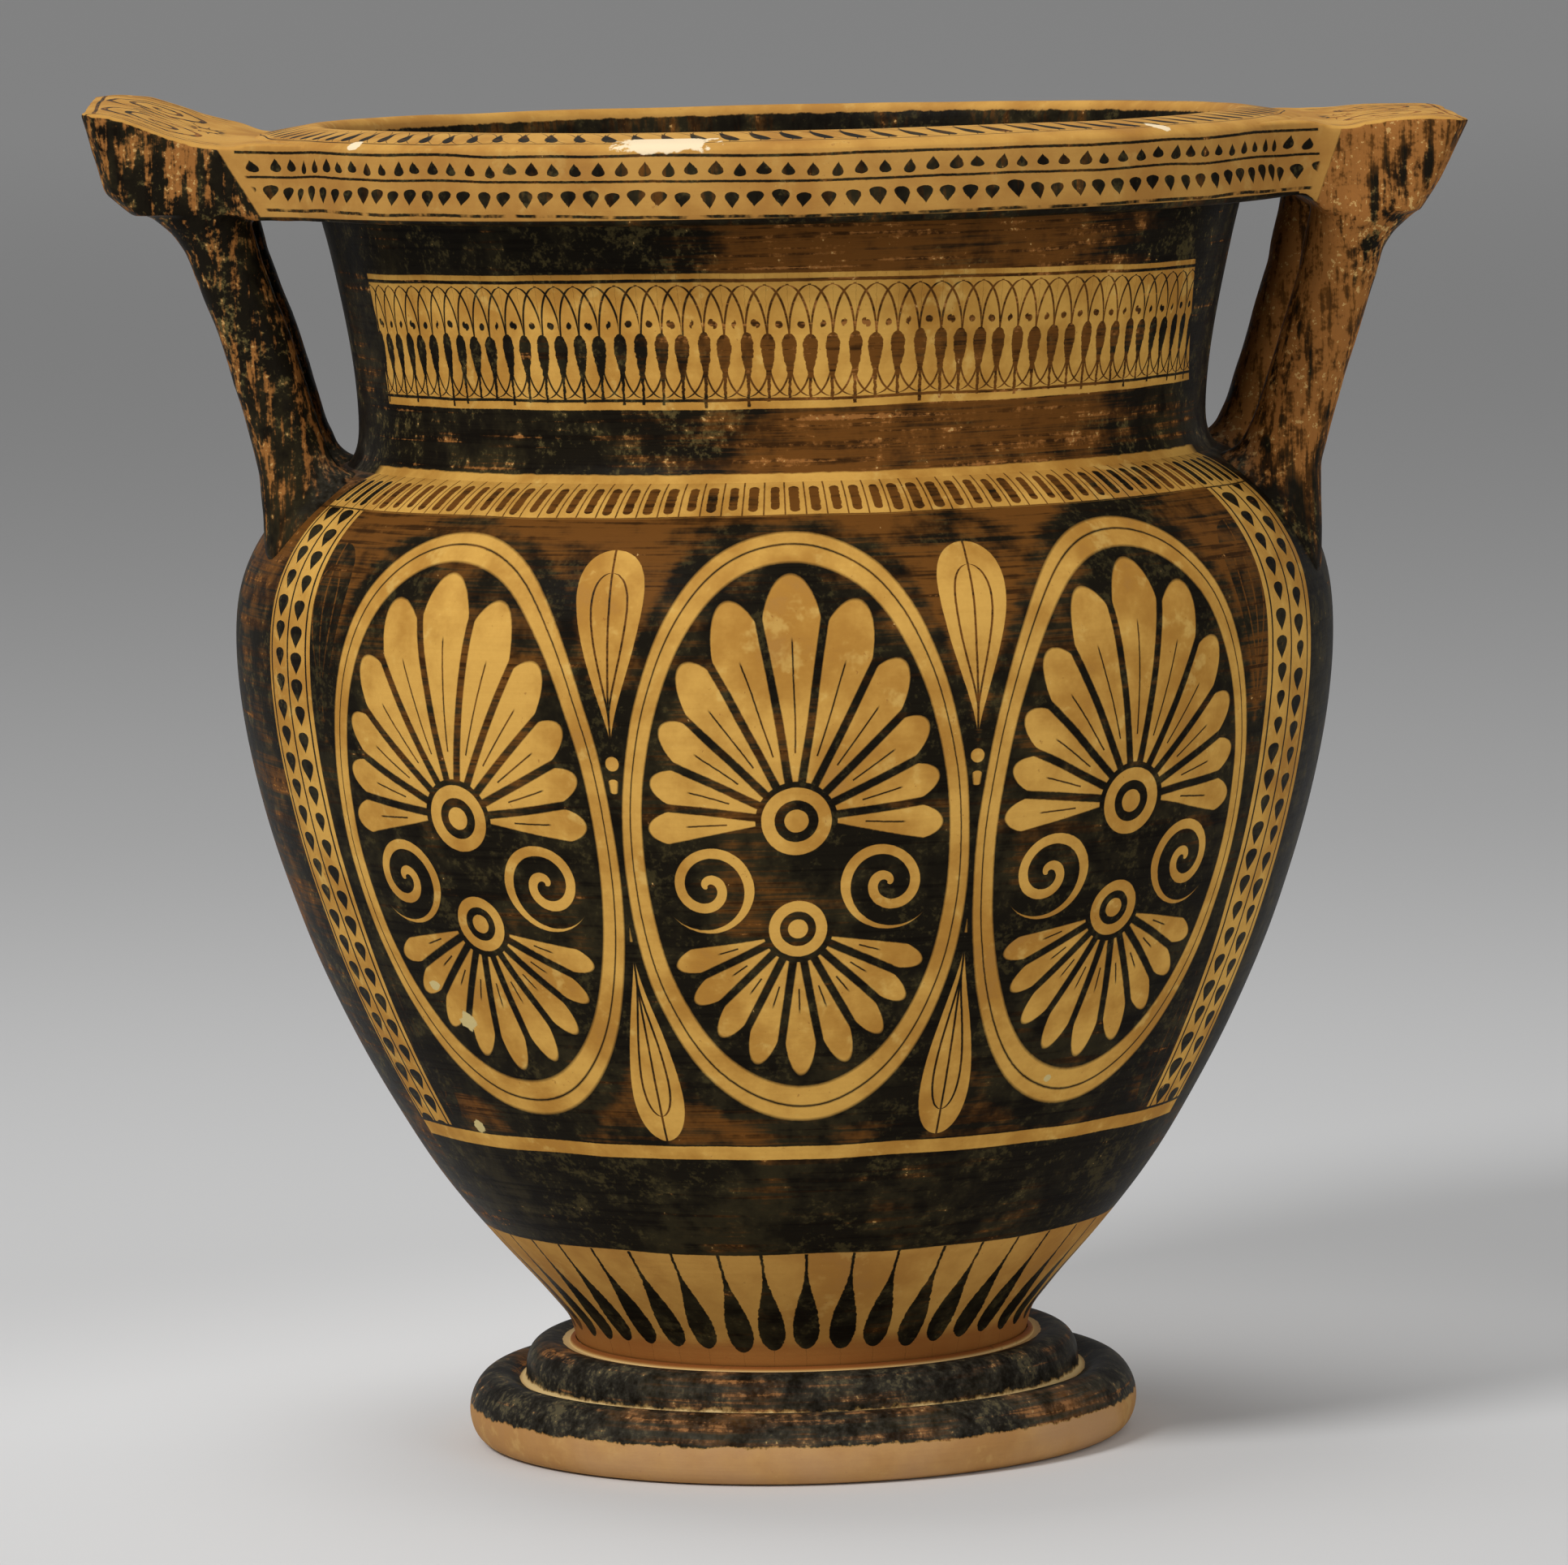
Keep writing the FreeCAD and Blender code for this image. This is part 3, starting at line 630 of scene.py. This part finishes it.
def bodyLayers(tree):
    x, z, radius, turn = shared(tree, "X", "Z", "Radius", "Turn")
    art = useGroup(tree, bodyPaint)
    low = span(z, bodyBands["rayTop"], bodyBands["bandTop"], 4)
    side = ramp(abs(abs(turn) - 90), 30, 18)
    root = side * ramp(z, 232, 256)
    knocks = chips(tree, turn, z, bodyKnocks)
    # the clay below the top of the rays is darkened with painted shade
    return {"paint": either(art["Paint"], insideOf(tree, z, radius)),
            "brown": art["Brown"] + root * 0.35, "paintedSheen": art["Haze"],
            "wear": 0.26 + low * 0.06 + side * ramp(-x, -60, 60) * 0.3 + root * 0.22,
            "tints": [(inside(z - 66, 3) * 0.4, clay["paintedShade"]), (art["Rust"] * 0.8, clay["rust"])],
            "over": [(knocks, clay["chip"])]}


def insideOf(tree, z, radius):
    # 1 on the lining of the pot
    normal = tree.nodes.new("ShaderNodeNewGeometry").outputs["Normal"]
    spot = tree.nodes.new("ShaderNodeTexCoord").outputs["Object"]
    outward = place(tree, "VectorMath", {0: spot, 1: (1, 1, 0)}, operation="MULTIPLY")
    facing = place(tree, "VectorMath", {0: normal, 1: outward}, output="Value", operation="DOT_PRODUCT")
    deep = inside(z - 361.6 + shared(tree, "Ragged") * 0.8, 0.4) * inside(34.2 - z)
    floor = inside(radius - 60) * inside(33 - z) * inside(z - 60)
    return either(inside(facing * 1000 + 4, 2) * deep, floor)


def neckLayers(tree):
    z, radius, turn = shared(tree, "Z", "Radius", "Turn")
    art = useGroup(tree, neckPaint)
    strip = span(z + shared(tree, "Patch") * 0.6, 269.5, 274.2, 0.4) * inside(abs(turn) - 68, 2)
    below = span(z, 274, 291, 3)
    # the neck's sides low down get a grey painted sheen
    return {"paint": either(art["Paint"] * (1 - strip), insideOf(tree, z, radius)), "brown": art["Brown"],
            "wear": 0.42 + below * 0.12 + art["Brown"] * 0.3,
            "paintedSheen": ramp(abs(turn), 68, 76) * inside(z - 280, 8) * 0.25}


def rimLayers(tree):
    # the lip and the handles share one finish, so that the drawing runs on across their joints
    x, z, radius, turn = shared(tree, "X", "Z", "Radius", "Turn")
    art = useGroup(tree, rimPaint)
    plate = useGroup(tree, plateArt)["Paint"]
    normal = tree.nodes.new("ShaderNodeNewGeometry").outputs["Normal"]
    up = place(tree, "SeparateXYZ", {0: normal}, output=2)
    ragged = shared(tree, "Ragged") * 0.5
    right = ramp(x, -40, 60)
    reach = abs(x)
    top = ramp(up + ragged * 0.2, 0.42, 0.6) * inside(350 - z, 4)
    onLip = inside(radius - 142.3, 0.6)
    topPaint = either(art["Top"] * onLip * inside(128 - radius), plate * inside(150 - reach, 1.5))
    edge = 151.0 + right * 1.8 - (361 - z) * (0.62 - right * 0.26)
    handle = inside(edge - reach + ragged * 0.8, 0.5)
    face = art["Face"] * inside(reach - edge + 3.0, 0.8) * span(radius, 136, 154) * (1 - ramp(up, 0.5, 0.7))
    under = inside(up + 0.7, 0.1) * inside(z - 344)
    column = inside(z - 339.2 - inside(reach - 140) * 3)
    inner = inside(reach - (132.4 + (z - 309) * 0.3 - right * 1.5 + ragged * 1.6), 0.6)
    inner = inner * span(z, 274, 340, 2) * 0.75  # the columns' inner sides were left partly bare
    side = either(face, handle, under, column * (1 - inner * (1 - right)))
    lining = insideOf(tree, z, radius) * inside(radius - 135)
    paint = either(top * topPaint, (1 - top) * side) * inside(125.6 - radius, 1)
    plaster = chips(tree, turn, z, lipFills) * inside(136 - radius)
    onHandle = either(handle, inside(z - 339.4)) * (0.4 + ramp(z, 246, 280) * 0.6)  # the wear fades at the roots
    # the columns' roots get a grey painted sheen, and the lip is darkened with painted shade, its face more than
    # its top
    return {"paint": either(paint, lining), "brush": brushUp(tree),
            "brown": 0.36 + right * onHandle * 0.36, "wear": 0.34 + onHandle * (0.64 + right * 0.24),
            "paintedSheen": column * inside(z - 277, 8) * inside(reach - 127, 6) * 0.3,
            "tints": [(0.5 - top * 0.15, clay["paintedShade"])], "over": [(plaster, clay["plaster"])]}


def footLayers(tree):
    z, radius = shared(tree, "Z", "Radius")
    ragged, cloud = shared(tree, "Ragged") * 0.5, shared(tree, "Cloud")
    bare = inside(z - 11.0 + ragged * 3.2, 0.5)
    groove = span(radius + ragged * 0.6, 76.8, 78.5) * span(z, 15, 19.6)
    ledge = inside(radius - 66.4 + ragged * 0.8) * inside(25 - z)
    hollow = inside(radius - 58) * inside(z - 25)
    paint = (1 - either(bare, groove, hollow, ledge)) * inside(60.5 - radius)
    pink = ramp(cloud, -0.3, 0.4)
    # the foot's gloss carries an even grey painted sheen
    return {"paint": paint, "brown": 0.42, "wear": 0.66, "paintedSheen": 0.22,
            "tints": [(bare * (pink * 0.4 + 0.4), clay["pink"]), (either(groove, ledge), clay["cream"])]}


def ridgeLayers(tree):
    worn = ramp(shared(tree, "Patch"), 0.2, 0.5)
    high = ramp(shared(tree, "Z"), 26.8, 27.9)
    return {"paint": worn * 0.6, "tints": [(1 - high, clay["cream"]), (high, clay["rust"])]}


finishes = {name: makeMaterial(name, layers) for name, layers in (
    ("paintedBowl", bodyLayers), ("paintedNeck", neckLayers), ("paintedRim", rimLayers),
    ("glossyFoot", footLayers), ("paleRidge", ridgeLayers))}
print("materials ready")


# Shapes

def handBuilt(spot):
    # the small lean, sag and waves of a pot that was turned and joined by hand; millimetres
    x, y, z = spot
    share = x / saddle["radius"]
    rim = smooth(300, 341, z)
    z += rim * (saddle["rise"] * share * share + saddle["tilt"] * share)
    x += 1.6 * smooth(235, 340, z)
    wave = noise.noise(Vector((x, y, z)) * 0.016) * 0.3 + rim * noise.noise(Vector((x, y, 5)) * 0.03) * 0.35
    return Vector((x * (1 - abs(wave) / 150), y * (1 - abs(wave) / 150), z - rim * abs(wave)))


def addPiece(name, mesh, material, levels):
    data = bpy.data.meshes.new(name)
    mesh.to_mesh(data)
    mesh.free()
    data.polygons.foreach_set("use_smooth", [True] * len(data.polygons))
    data.materials.append(finishes[material])
    piece = bpy.data.objects.new(name, data)
    bpy.context.scene.collection.objects.link(piece)
    if levels:
        round_ = piece.modifiers.new("round", "SUBSURF")
        round_.levels = round_.render_levels = levels
    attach(piece, "root")
    return piece


def turned(name, profile, material, closed, steps=96):
    # a piece thrown on the wheel, from its half section in millimetres
    mesh = bmesh.new()
    points = [mesh.verts.new((r * mm, 0, z * mm)) for r, z in profile]
    pairs = list(zip(points, points[1:])) + ([(points[-1], points[0])] if closed else [])
    edges = [mesh.edges.new(pair) for pair in pairs]
    bmesh.ops.spin(mesh, geom=points + edges, cent=(0, 0, 0), axis=(0, 0, 1), angle=math.tau, steps=steps,
                   use_merge=True)
    bmesh.ops.remove_doubles(mesh, verts=mesh.verts, dist=1e-6)
    for point in mesh.verts:
        point.co = handBuilt(point.co / mm) * mm
    bmesh.ops.recalc_face_normals(mesh, faces=mesh.faces)
    return addPiece(name, mesh, material, 2)


bowl = turned("bowl_shell", [
    (0, 26.7), (30, 26.7), (57, 26.7), (62.4, 26.9), (62.9, 29.4), (63.5, 32.3), (64.9, 35.6),
    (68.3, 39.6), (73.0, 45.4), (81.2, 54.3), (88.8, 63.3), (95.6, 71.8), (102.3, 81.3), (109.4, 93.2),
    (116.2, 105.1), (122.2, 117), (127.7, 128.9), (132.7, 140.7), (136.9, 152.6), (140.9, 164.5),
    (144.2, 176.4), (147.0, 188.3), (149.3, 200.2), (150.8, 212.1), (151.3, 224), (150.6, 235),
    (148.3, 244), (144.2, 252.2), (138.7, 259.4), (132.1, 265.2), (124.7, 270.0), (118.5, 272.6),
    (115.6, 273.2), (110.4, 273.2), (109.9, 272.0), (117.5, 268.2), (125, 262.8), (131.5, 256.6),
    (137.5, 249.2), (142, 240.5), (144.6, 230), (144.9, 220), (144.2, 209), (142.4, 197), (139.5, 182),
    (135.5, 167), (130, 151), (123.5, 135), (115.5, 118), (106, 101), (95.5, 85), (84.5, 71), (73, 59.5),
    (60, 49.5), (45, 41), (27, 35.5), (10, 34.6), (0, 34.5)],
    "paintedBowl", False)
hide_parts("bowl")

neck = turned("neck_wall", [
    (122.4, 268.5), (120.6, 271.1), (118.6, 273.0), (117.1, 275.8), (116.3, 280), (116.5, 287),
    (117.3, 296), (118.8, 306), (120.8, 316), (122.8, 325), (124.6, 333), (127.0, 341.5), (127.2, 344.0),
    (121.6, 344.0), (121.2, 341.5), (118.3, 333), (116.0, 325), (113.7, 316), (112.0, 306), (110.8, 296),
    (110.1, 285), (110.1, 274), (110.6, 270.2)],
    "paintedNeck", True)
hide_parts("neck", "neck_joint")

lip = turned("lip_ring", [
    (121.0, 341.3), (121.6, 343.5), (122.2, 352), (123.0, 359.0), (124.0, 362.8), (126.2, 364.3),
    (128.6, 364.2), (134.0, 363.2), (140.0, 362.2), (142.8, 361.5), (144.4, 360.1), (144.9, 358.4),
    (145.0, 353), (144.9, 347.0), (144.6, 342.6), (143.8, 340.7), (142.0, 340.3), (136, 340.3),
    (129, 340.3), (126, 340.3)],
    "paintedRim", True)
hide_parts("lip")

foot = turned("foot_ring", [
    (80.0, 0.5), (82.0, 0.0), (87.0, 0.0), (89.6, 0.9), (91.6, 3.3), (92.6, 6.6), (92.8, 9.8),
    (92.0, 13.2), (90.2, 16.4), (87.6, 18.7), (84.6, 19.4), (81.6, 18.7), (79.2, 17.2), (78.0, 16.6),
    (77.0, 17.2), (76.7, 19.2), (76.7, 21.8), (75.9, 24.6), (74.0, 26.9), (71.2, 28.0), (68.2, 27.7),
    (65.6, 26.8), (60, 26.5), (52, 26.5), (50.4, 25.6), (50.6, 20), (53, 14.5), (60, 9.0), (70, 4.0),
    (77.0, 1.4)],
    "glossyFoot", True)
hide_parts("foot")

ridge = frame["nodes"]["foot_joint"].data
ridge.materials.clear()
ridge.materials.append(finishes["paleRidge"])
print("turned pieces ready")

# handles: a plate that reaches out from the lip, and two columns below it; near and far are the plate's
# top along its front and back edge, nose the outer end, heel how far the underside stays behind it
handles = {
    "left": {
        "side": -1, "reach": 187.6, "nose": (349.0, 6.2), "under": 342.8, "heel": 13.5, "girth": 9.9,
        "backShift": 0.0,
        "near": ((118, 361.6), (136, 362.0), (142, 362.2), (147, 361.0), (155.5, 361.8), (164.2, 364.4),
                 (174, 368.6), (181, 370.6), (188, 370.8)),
        "far": ((118, 361.6), (136, 362.0), (142, 362.8), (147, 365.0), (155.5, 367.4), (163.3, 370.2),
                (172, 373.1), (181, 373.9), (188, 373.8)),
        "column": ((268, 131.8), (279, 134.5), (294.5, 138.1), (309, 142.3), (322, 146.9), (331, 150.0),
                   (339, 152.6))},
    "right": {
        "side": 1, "reach": 187.8, "nose": (344.5, 8.2), "under": 335.6, "heel": 14.0, "girth": 10.9,
        "backShift": -3.0,
        "near": ((118, 361.4), (136, 361.6), (143, 361.6), (148, 359.8), (153.5, 358.9), (159.7, 360.4),
                 (166, 361.3), (175, 361.6), (188, 360.4)),
        "far": ((118, 361.4), (136, 361.6), (143, 361.9), (148, 361.7), (153.5, 361.9), (159.7, 362.3),
                (166, 362.6), (175, 362.7), (188, 362.2)),
        "column": ((268, 135.2), (279, 138.8), (294.5, 143.4), (309, 148.0), (320, 151.6), (331, 154.8))},
}
plateShape = {"half": 46.4, "corner": 7.0, "web": 38.0, "lip": 145.0, "start": 121.0, "columnY": 32.5,
              "lean": 1.6, "lipUnder": 341.0, "grid": 0.9, "passes": 14}


def along(table, value):
    for (low, first), (high, second) in zip(table, table[1:]):
        if value <= high:
            return first + (second - first) * max(value - low, 0) / (high - low)
    return table[-1][1]


def halfWidth(x, facts):
    # the plate's half width: hollow webs near the lip, rounded corners at the end
    half, web, ring = plateShape["half"], plateShape["web"], plateShape["lip"]
    start = math.sqrt((ring + web) ** 2 - (half + web) ** 2)
    touch = start * ring / (ring + web)
    out = x - plateShape["lean"] * facts["side"]  # from the middle of the lip, which leans to the right
    if out < touch:
        return math.sqrt(ring ** 2 - out ** 2) - 1.2 - 0.25 * (touch - out)
    if out < start:
        return half + web - math.sqrt(web ** 2 - (start - out) ** 2)
    end = x - (facts["reach"] - plateShape["corner"])
    if end <= 0:
        return half
    return half - plateShape["corner"] + math.sqrt(max(plateShape["corner"] ** 2 - end ** 2, 0))


def shapePlate(facts):
    # three sheets of points, top, nose and underside, joined by extruding the first
    mesh = bmesh.new()
    bmesh.ops.create_grid(mesh, x_segments=26, y_segments=22, size=1)
    faces = list(mesh.faces)
    for layer in (1, 2):
        fresh = bmesh.ops.extrude_face_region(mesh, geom=faces, use_keep_orig=layer == 1)["geom"]
        faces = [part for part in fresh if isinstance(part, bmesh.types.BMFace)]
        points = [part for part in fresh if isinstance(part, bmesh.types.BMVert)]
        bmesh.ops.translate(mesh, verts=points, vec=(0, 0, -1))
    half, start, lipUnder = plateShape["half"], plateShape["start"], plateShape["lipUnder"]
    for point in mesh.verts:
        layer = round(-point.co.z)
        share, across = point.co.x * 0.5 + 0.5, point.co.y
        reach = facts["reach"] - (0, facts["nose"][1], facts["heel"])[layer]
        x, full = start + (reach - start) * share, start + (facts["reach"] - start) * share
        y = across * halfWidth(full, facts)
        tilt = (y + half) / (2 * half)
        crown = along(facts["near"], full) * (1 - tilt) + along(facts["far"], full) * tilt
        low = lipUnder + (facts["under"] - lipUnder) * smooth(146, 156, full)
        sunk = 1.6 * (1 - smooth(137, 143, math.hypot(full - plateShape["lean"] * facts["side"], y)))
        crown, low = crown - sunk, low + sunk  # stay inside the lip
        level = (crown, low + facts["nose"][0] - facts["under"], low)[layer]
        point.co = Vector((x * facts["side"], y, level)) * mm
    return mesh


def shoulderHeight(x, y):
    out = math.hypot(x, y) - shoulder["centre"]
    return shoulder["level"] + math.sqrt(max(shoulder["radius"] ** 2 - out ** 2, 0))


def shapeColumn(facts, way):
    # a rolled column: rings from the shoulder to the plate, spread where they are pressed on
    side, girth, middle = facts["side"], facts["girth"], plateShape["columnY"] * way
    mesh = bmesh.new()
    rings = []
    table = [(level, reach + (facts["backShift"] if way > 0 else 0)) for level, reach in facts["column"]]
    head = table[-1][1]
    # each ring: height over the shoulder, spread, how closely it follows the shoulder, or else a place
    plan = [(-4.6, 1.2, 1.0, None), (0.2, 1.0, 1.0, None), (2.6, 0.58, 0.95, None), (6.0, 0.26, 0.8, None),
            (11.0, 0.08, 0.5, None)]
    plan += [(0, 0.0, 0, spot) for spot in table[2:-1]]
    plan += [(0, spread, 0, (facts["under"] + rise, head + reach)) for spread, rise, reach in (
        (0.1, -10, -2.2), (0.42, -5.5, -0.8), (0.85, -2.2, 0.5), (1.45, 1.0, 1.6), (1.2, 7.0, 2.5))]
    for lift, spread, follow, level in plan:
        ring = bmesh.ops.create_circle(mesh, cap_ends=False, segments=36, radius=girth)["verts"]
        for point in ring:
            angle = math.atan2(point.co.y, point.co.x)
            cosine, sine = math.cos(angle), math.sin(angle)
            if level is None:  # follow the bowl's shoulder
                wide = girth + spread * (3.2 - 3.4 * cosine)
                y, z = middle + (girth + spread * 3.4) * sine, table[0][0]
                for _ in range(3):
                    x = along(table, z) + wide * cosine - (1.6 if lift < -1 else 0)
                    z = (shoulderHeight(x, y) + lift) * follow + (table[0][0] + lift * 1.6) * (1 - follow)
            else:
                grow = spread * 4.2
                x = level[1] + (girth + grow * (1.25 if cosine > 0 else 0.2)) * cosine
                y = middle + (girth + min(grow * (0.86 if sine * way > 0 else 0.5), 3.4)) * sine
                z = level[0]
            point.co = Vector((x * side, y, z)) * mm
        rings.append(ring)
    for first, second in zip(rings, rings[1:]):
        edges = [edge for ring in (first, second) for edge in {e for point in ring for e in point.link_edges}
                 if all(end in ring for end in edge.verts)]
        bmesh.ops.bridge_loops(mesh, edges=edges)
    for ring in (rings[0], rings[-1]):
        bmesh.ops.contextual_create(mesh, geom=ring)
    return mesh


def makeHandle(name, facts):
    # the plate and its columns were smoothed into one while the clay was wet
    whole = bmesh.new()
    for mesh in (shapePlate(facts), shapeColumn(facts, -1), shapeColumn(facts, 1)):
        bmesh.ops.recalc_face_normals(mesh, faces=mesh.faces)
        part = bpy.data.meshes.new("part")
        mesh.to_mesh(part)
        mesh.free()
        whole.from_mesh(part)
    data = bpy.data.meshes.new("rough")
    whole.to_mesh(data)
    whole.free()
    rough = bpy.data.objects.new("rough", data)
    bpy.context.scene.collection.objects.link(rough)
    skin = rough.modifiers.new("skin", "REMESH")
    skin.mode, skin.voxel_size = "VOXEL", plateShape["grid"] * mm
    soften = rough.modifiers.new("soften", "SMOOTH")
    soften.factor, soften.iterations = 0.5, plateShape["passes"]
    bpy.context.view_layer.update()
    shaped = bpy.data.meshes.new_from_object(rough.evaluated_get(bpy.context.evaluated_depsgraph_get()))
    bpy.data.objects.remove(rough)
    mesh = bmesh.new()
    mesh.from_mesh(shaped)
    for point in mesh.verts:  # uneven, as clay pressed by hand
        spot = point.co / mm
        wave = noise.noise(spot * 0.045) * 0.5 + noise.noise(spot * 0.13) * 0.16
        point.co -= point.normal * (abs(wave) * mm)
    return addPiece(name, mesh, "paintedRim", 0)


for side, facts in handles.items():
    handle = makeHandle("handle_" + side, facts)
    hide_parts("plate_" + side, "column_%s_front" % side, "column_%s_back" % side)
print("handles ready")


# Floor, light and camera

# the floor's colours are painted light: near is a painted pool of light round the pot, inner and middle paint the
# light dimming with distance, far is lighter again
studio = {"reach": 40.0, "near": paintColour(226, 226, 226), "inner": paintColour(201, 201, 201),
          "middle": paintColour(180, 180, 180), "far": paintColour(205, 205, 205), "daylight": 0.35, "seen": 0.216}


def makeFloor():
    # a disc so wide that its edge stays out of view from every side
    mesh = bmesh.new()
    bmesh.ops.create_circle(mesh, cap_ends=True, segments=96, radius=studio["reach"])
    data = bpy.data.meshes.new("floor_disc")
    mesh.to_mesh(data)
    mesh.free()
    floor = bpy.data.objects.new("floor_disc", data)
    bpy.context.scene.collection.objects.link(floor)
    material = bpy.data.materials.new("studioFloor")
    material.use_nodes = True
    tree = material.node_tree
    shader = tree.nodes["Principled BSDF"]
    spot = tree.nodes.new("ShaderNodeTexCoord").outputs["Object"]
    away = place(tree, "VectorMath", {0: spot}, output="Value", operation="LENGTH")
    # painted light: lighter close round the pot and darker further out
    colour = blend(tree, ramp(away, 0.1, 0.4), studio["near"], studio["inner"])
    colour = blend(tree, ramp(away, 0.2, 1.7), colour, studio["middle"])
    feed(tree, shader.inputs["Base Color"], blend(tree, ramp(away, 2.5, 14), colour, studio["far"]))
    shader.inputs["Roughness"].default_value = 0.9
    shader.inputs["Specular IOR Level"].default_value = 0.1
    data.materials.append(material)


def addLamp(name, spot, size, power, aim=(0, 0, 0.19)):
    lamp = bpy.data.lights.new(name, "AREA")
    lamp.shape, lamp.size, lamp.energy = "DISK", size, power
    thing = bpy.data.objects.new(name, lamp)
    thing.location = spot
    thing.rotation_euler = (Vector(aim) - Vector(spot)).to_track_quat("-Z", "Y").to_euler()
    bpy.context.scene.collection.objects.link(thing)


def makeCamera():
    # the photograph's view: 2.5 m away, a little above, the pot turned slightly to the left
    view = {"distance": 2.5, "height": 0.4348, "aside": 0.004, "turn": -1.6, "down": 5.80, "pan": 0.12,
            "roll": -1.38, "lens": 36 * 11216 / 1932}
    lens = bpy.data.cameras.new("view")
    lens.lens, lens.sensor_width, lens.sensor_fit = view["lens"], 36, "HORIZONTAL"
    lens.clip_end = 100
    camera = bpy.data.objects.new("view", lens)
    spot = Vector((view["aside"], -view["distance"], view["height"]))
    spot = Matrix.Rotation(math.radians(view["turn"]), 3, "Z") @ spot
    look = (Matrix.Rotation(math.radians(view["pan"] + view["turn"]), 4, "Z")
            @ Matrix.Rotation(math.radians(90 - view["down"]), 4, "X")
            @ Matrix.Rotation(math.radians(view["roll"]), 4, "Z"))
    camera.matrix_world = Matrix.Translation(spot) @ look
    bpy.context.scene.collection.objects.link(camera)
    bpy.context.scene.camera = camera


makeFloor()
addLamp("key", (-2.7, -3.0, 3.5), 1.4, 152)
addLamp("fill", (1.8, -2.3, 1.0), 1.6, 15)
addLamp("top", (-0.3, 0.4, 2.6), 1.6, 22)
makeCamera()

world = bpy.data.worlds.new("studio")
bpy.context.scene.world = world
world.use_nodes = True
sky = world.node_tree.nodes["Background"]
sky.inputs["Color"].default_value = (1, 1, 1, 1)
direct = Field(world.node_tree, world.node_tree.nodes.new("ShaderNodeLightPath").outputs["Is Camera Ray"])
seen = direct * (studio["seen"] - studio["daylight"]) + studio["daylight"]
feed(world.node_tree, sky.inputs["Strength"], seen)
bpy.context.scene.view_settings.view_transform = "Standard"
print("light and camera ready")
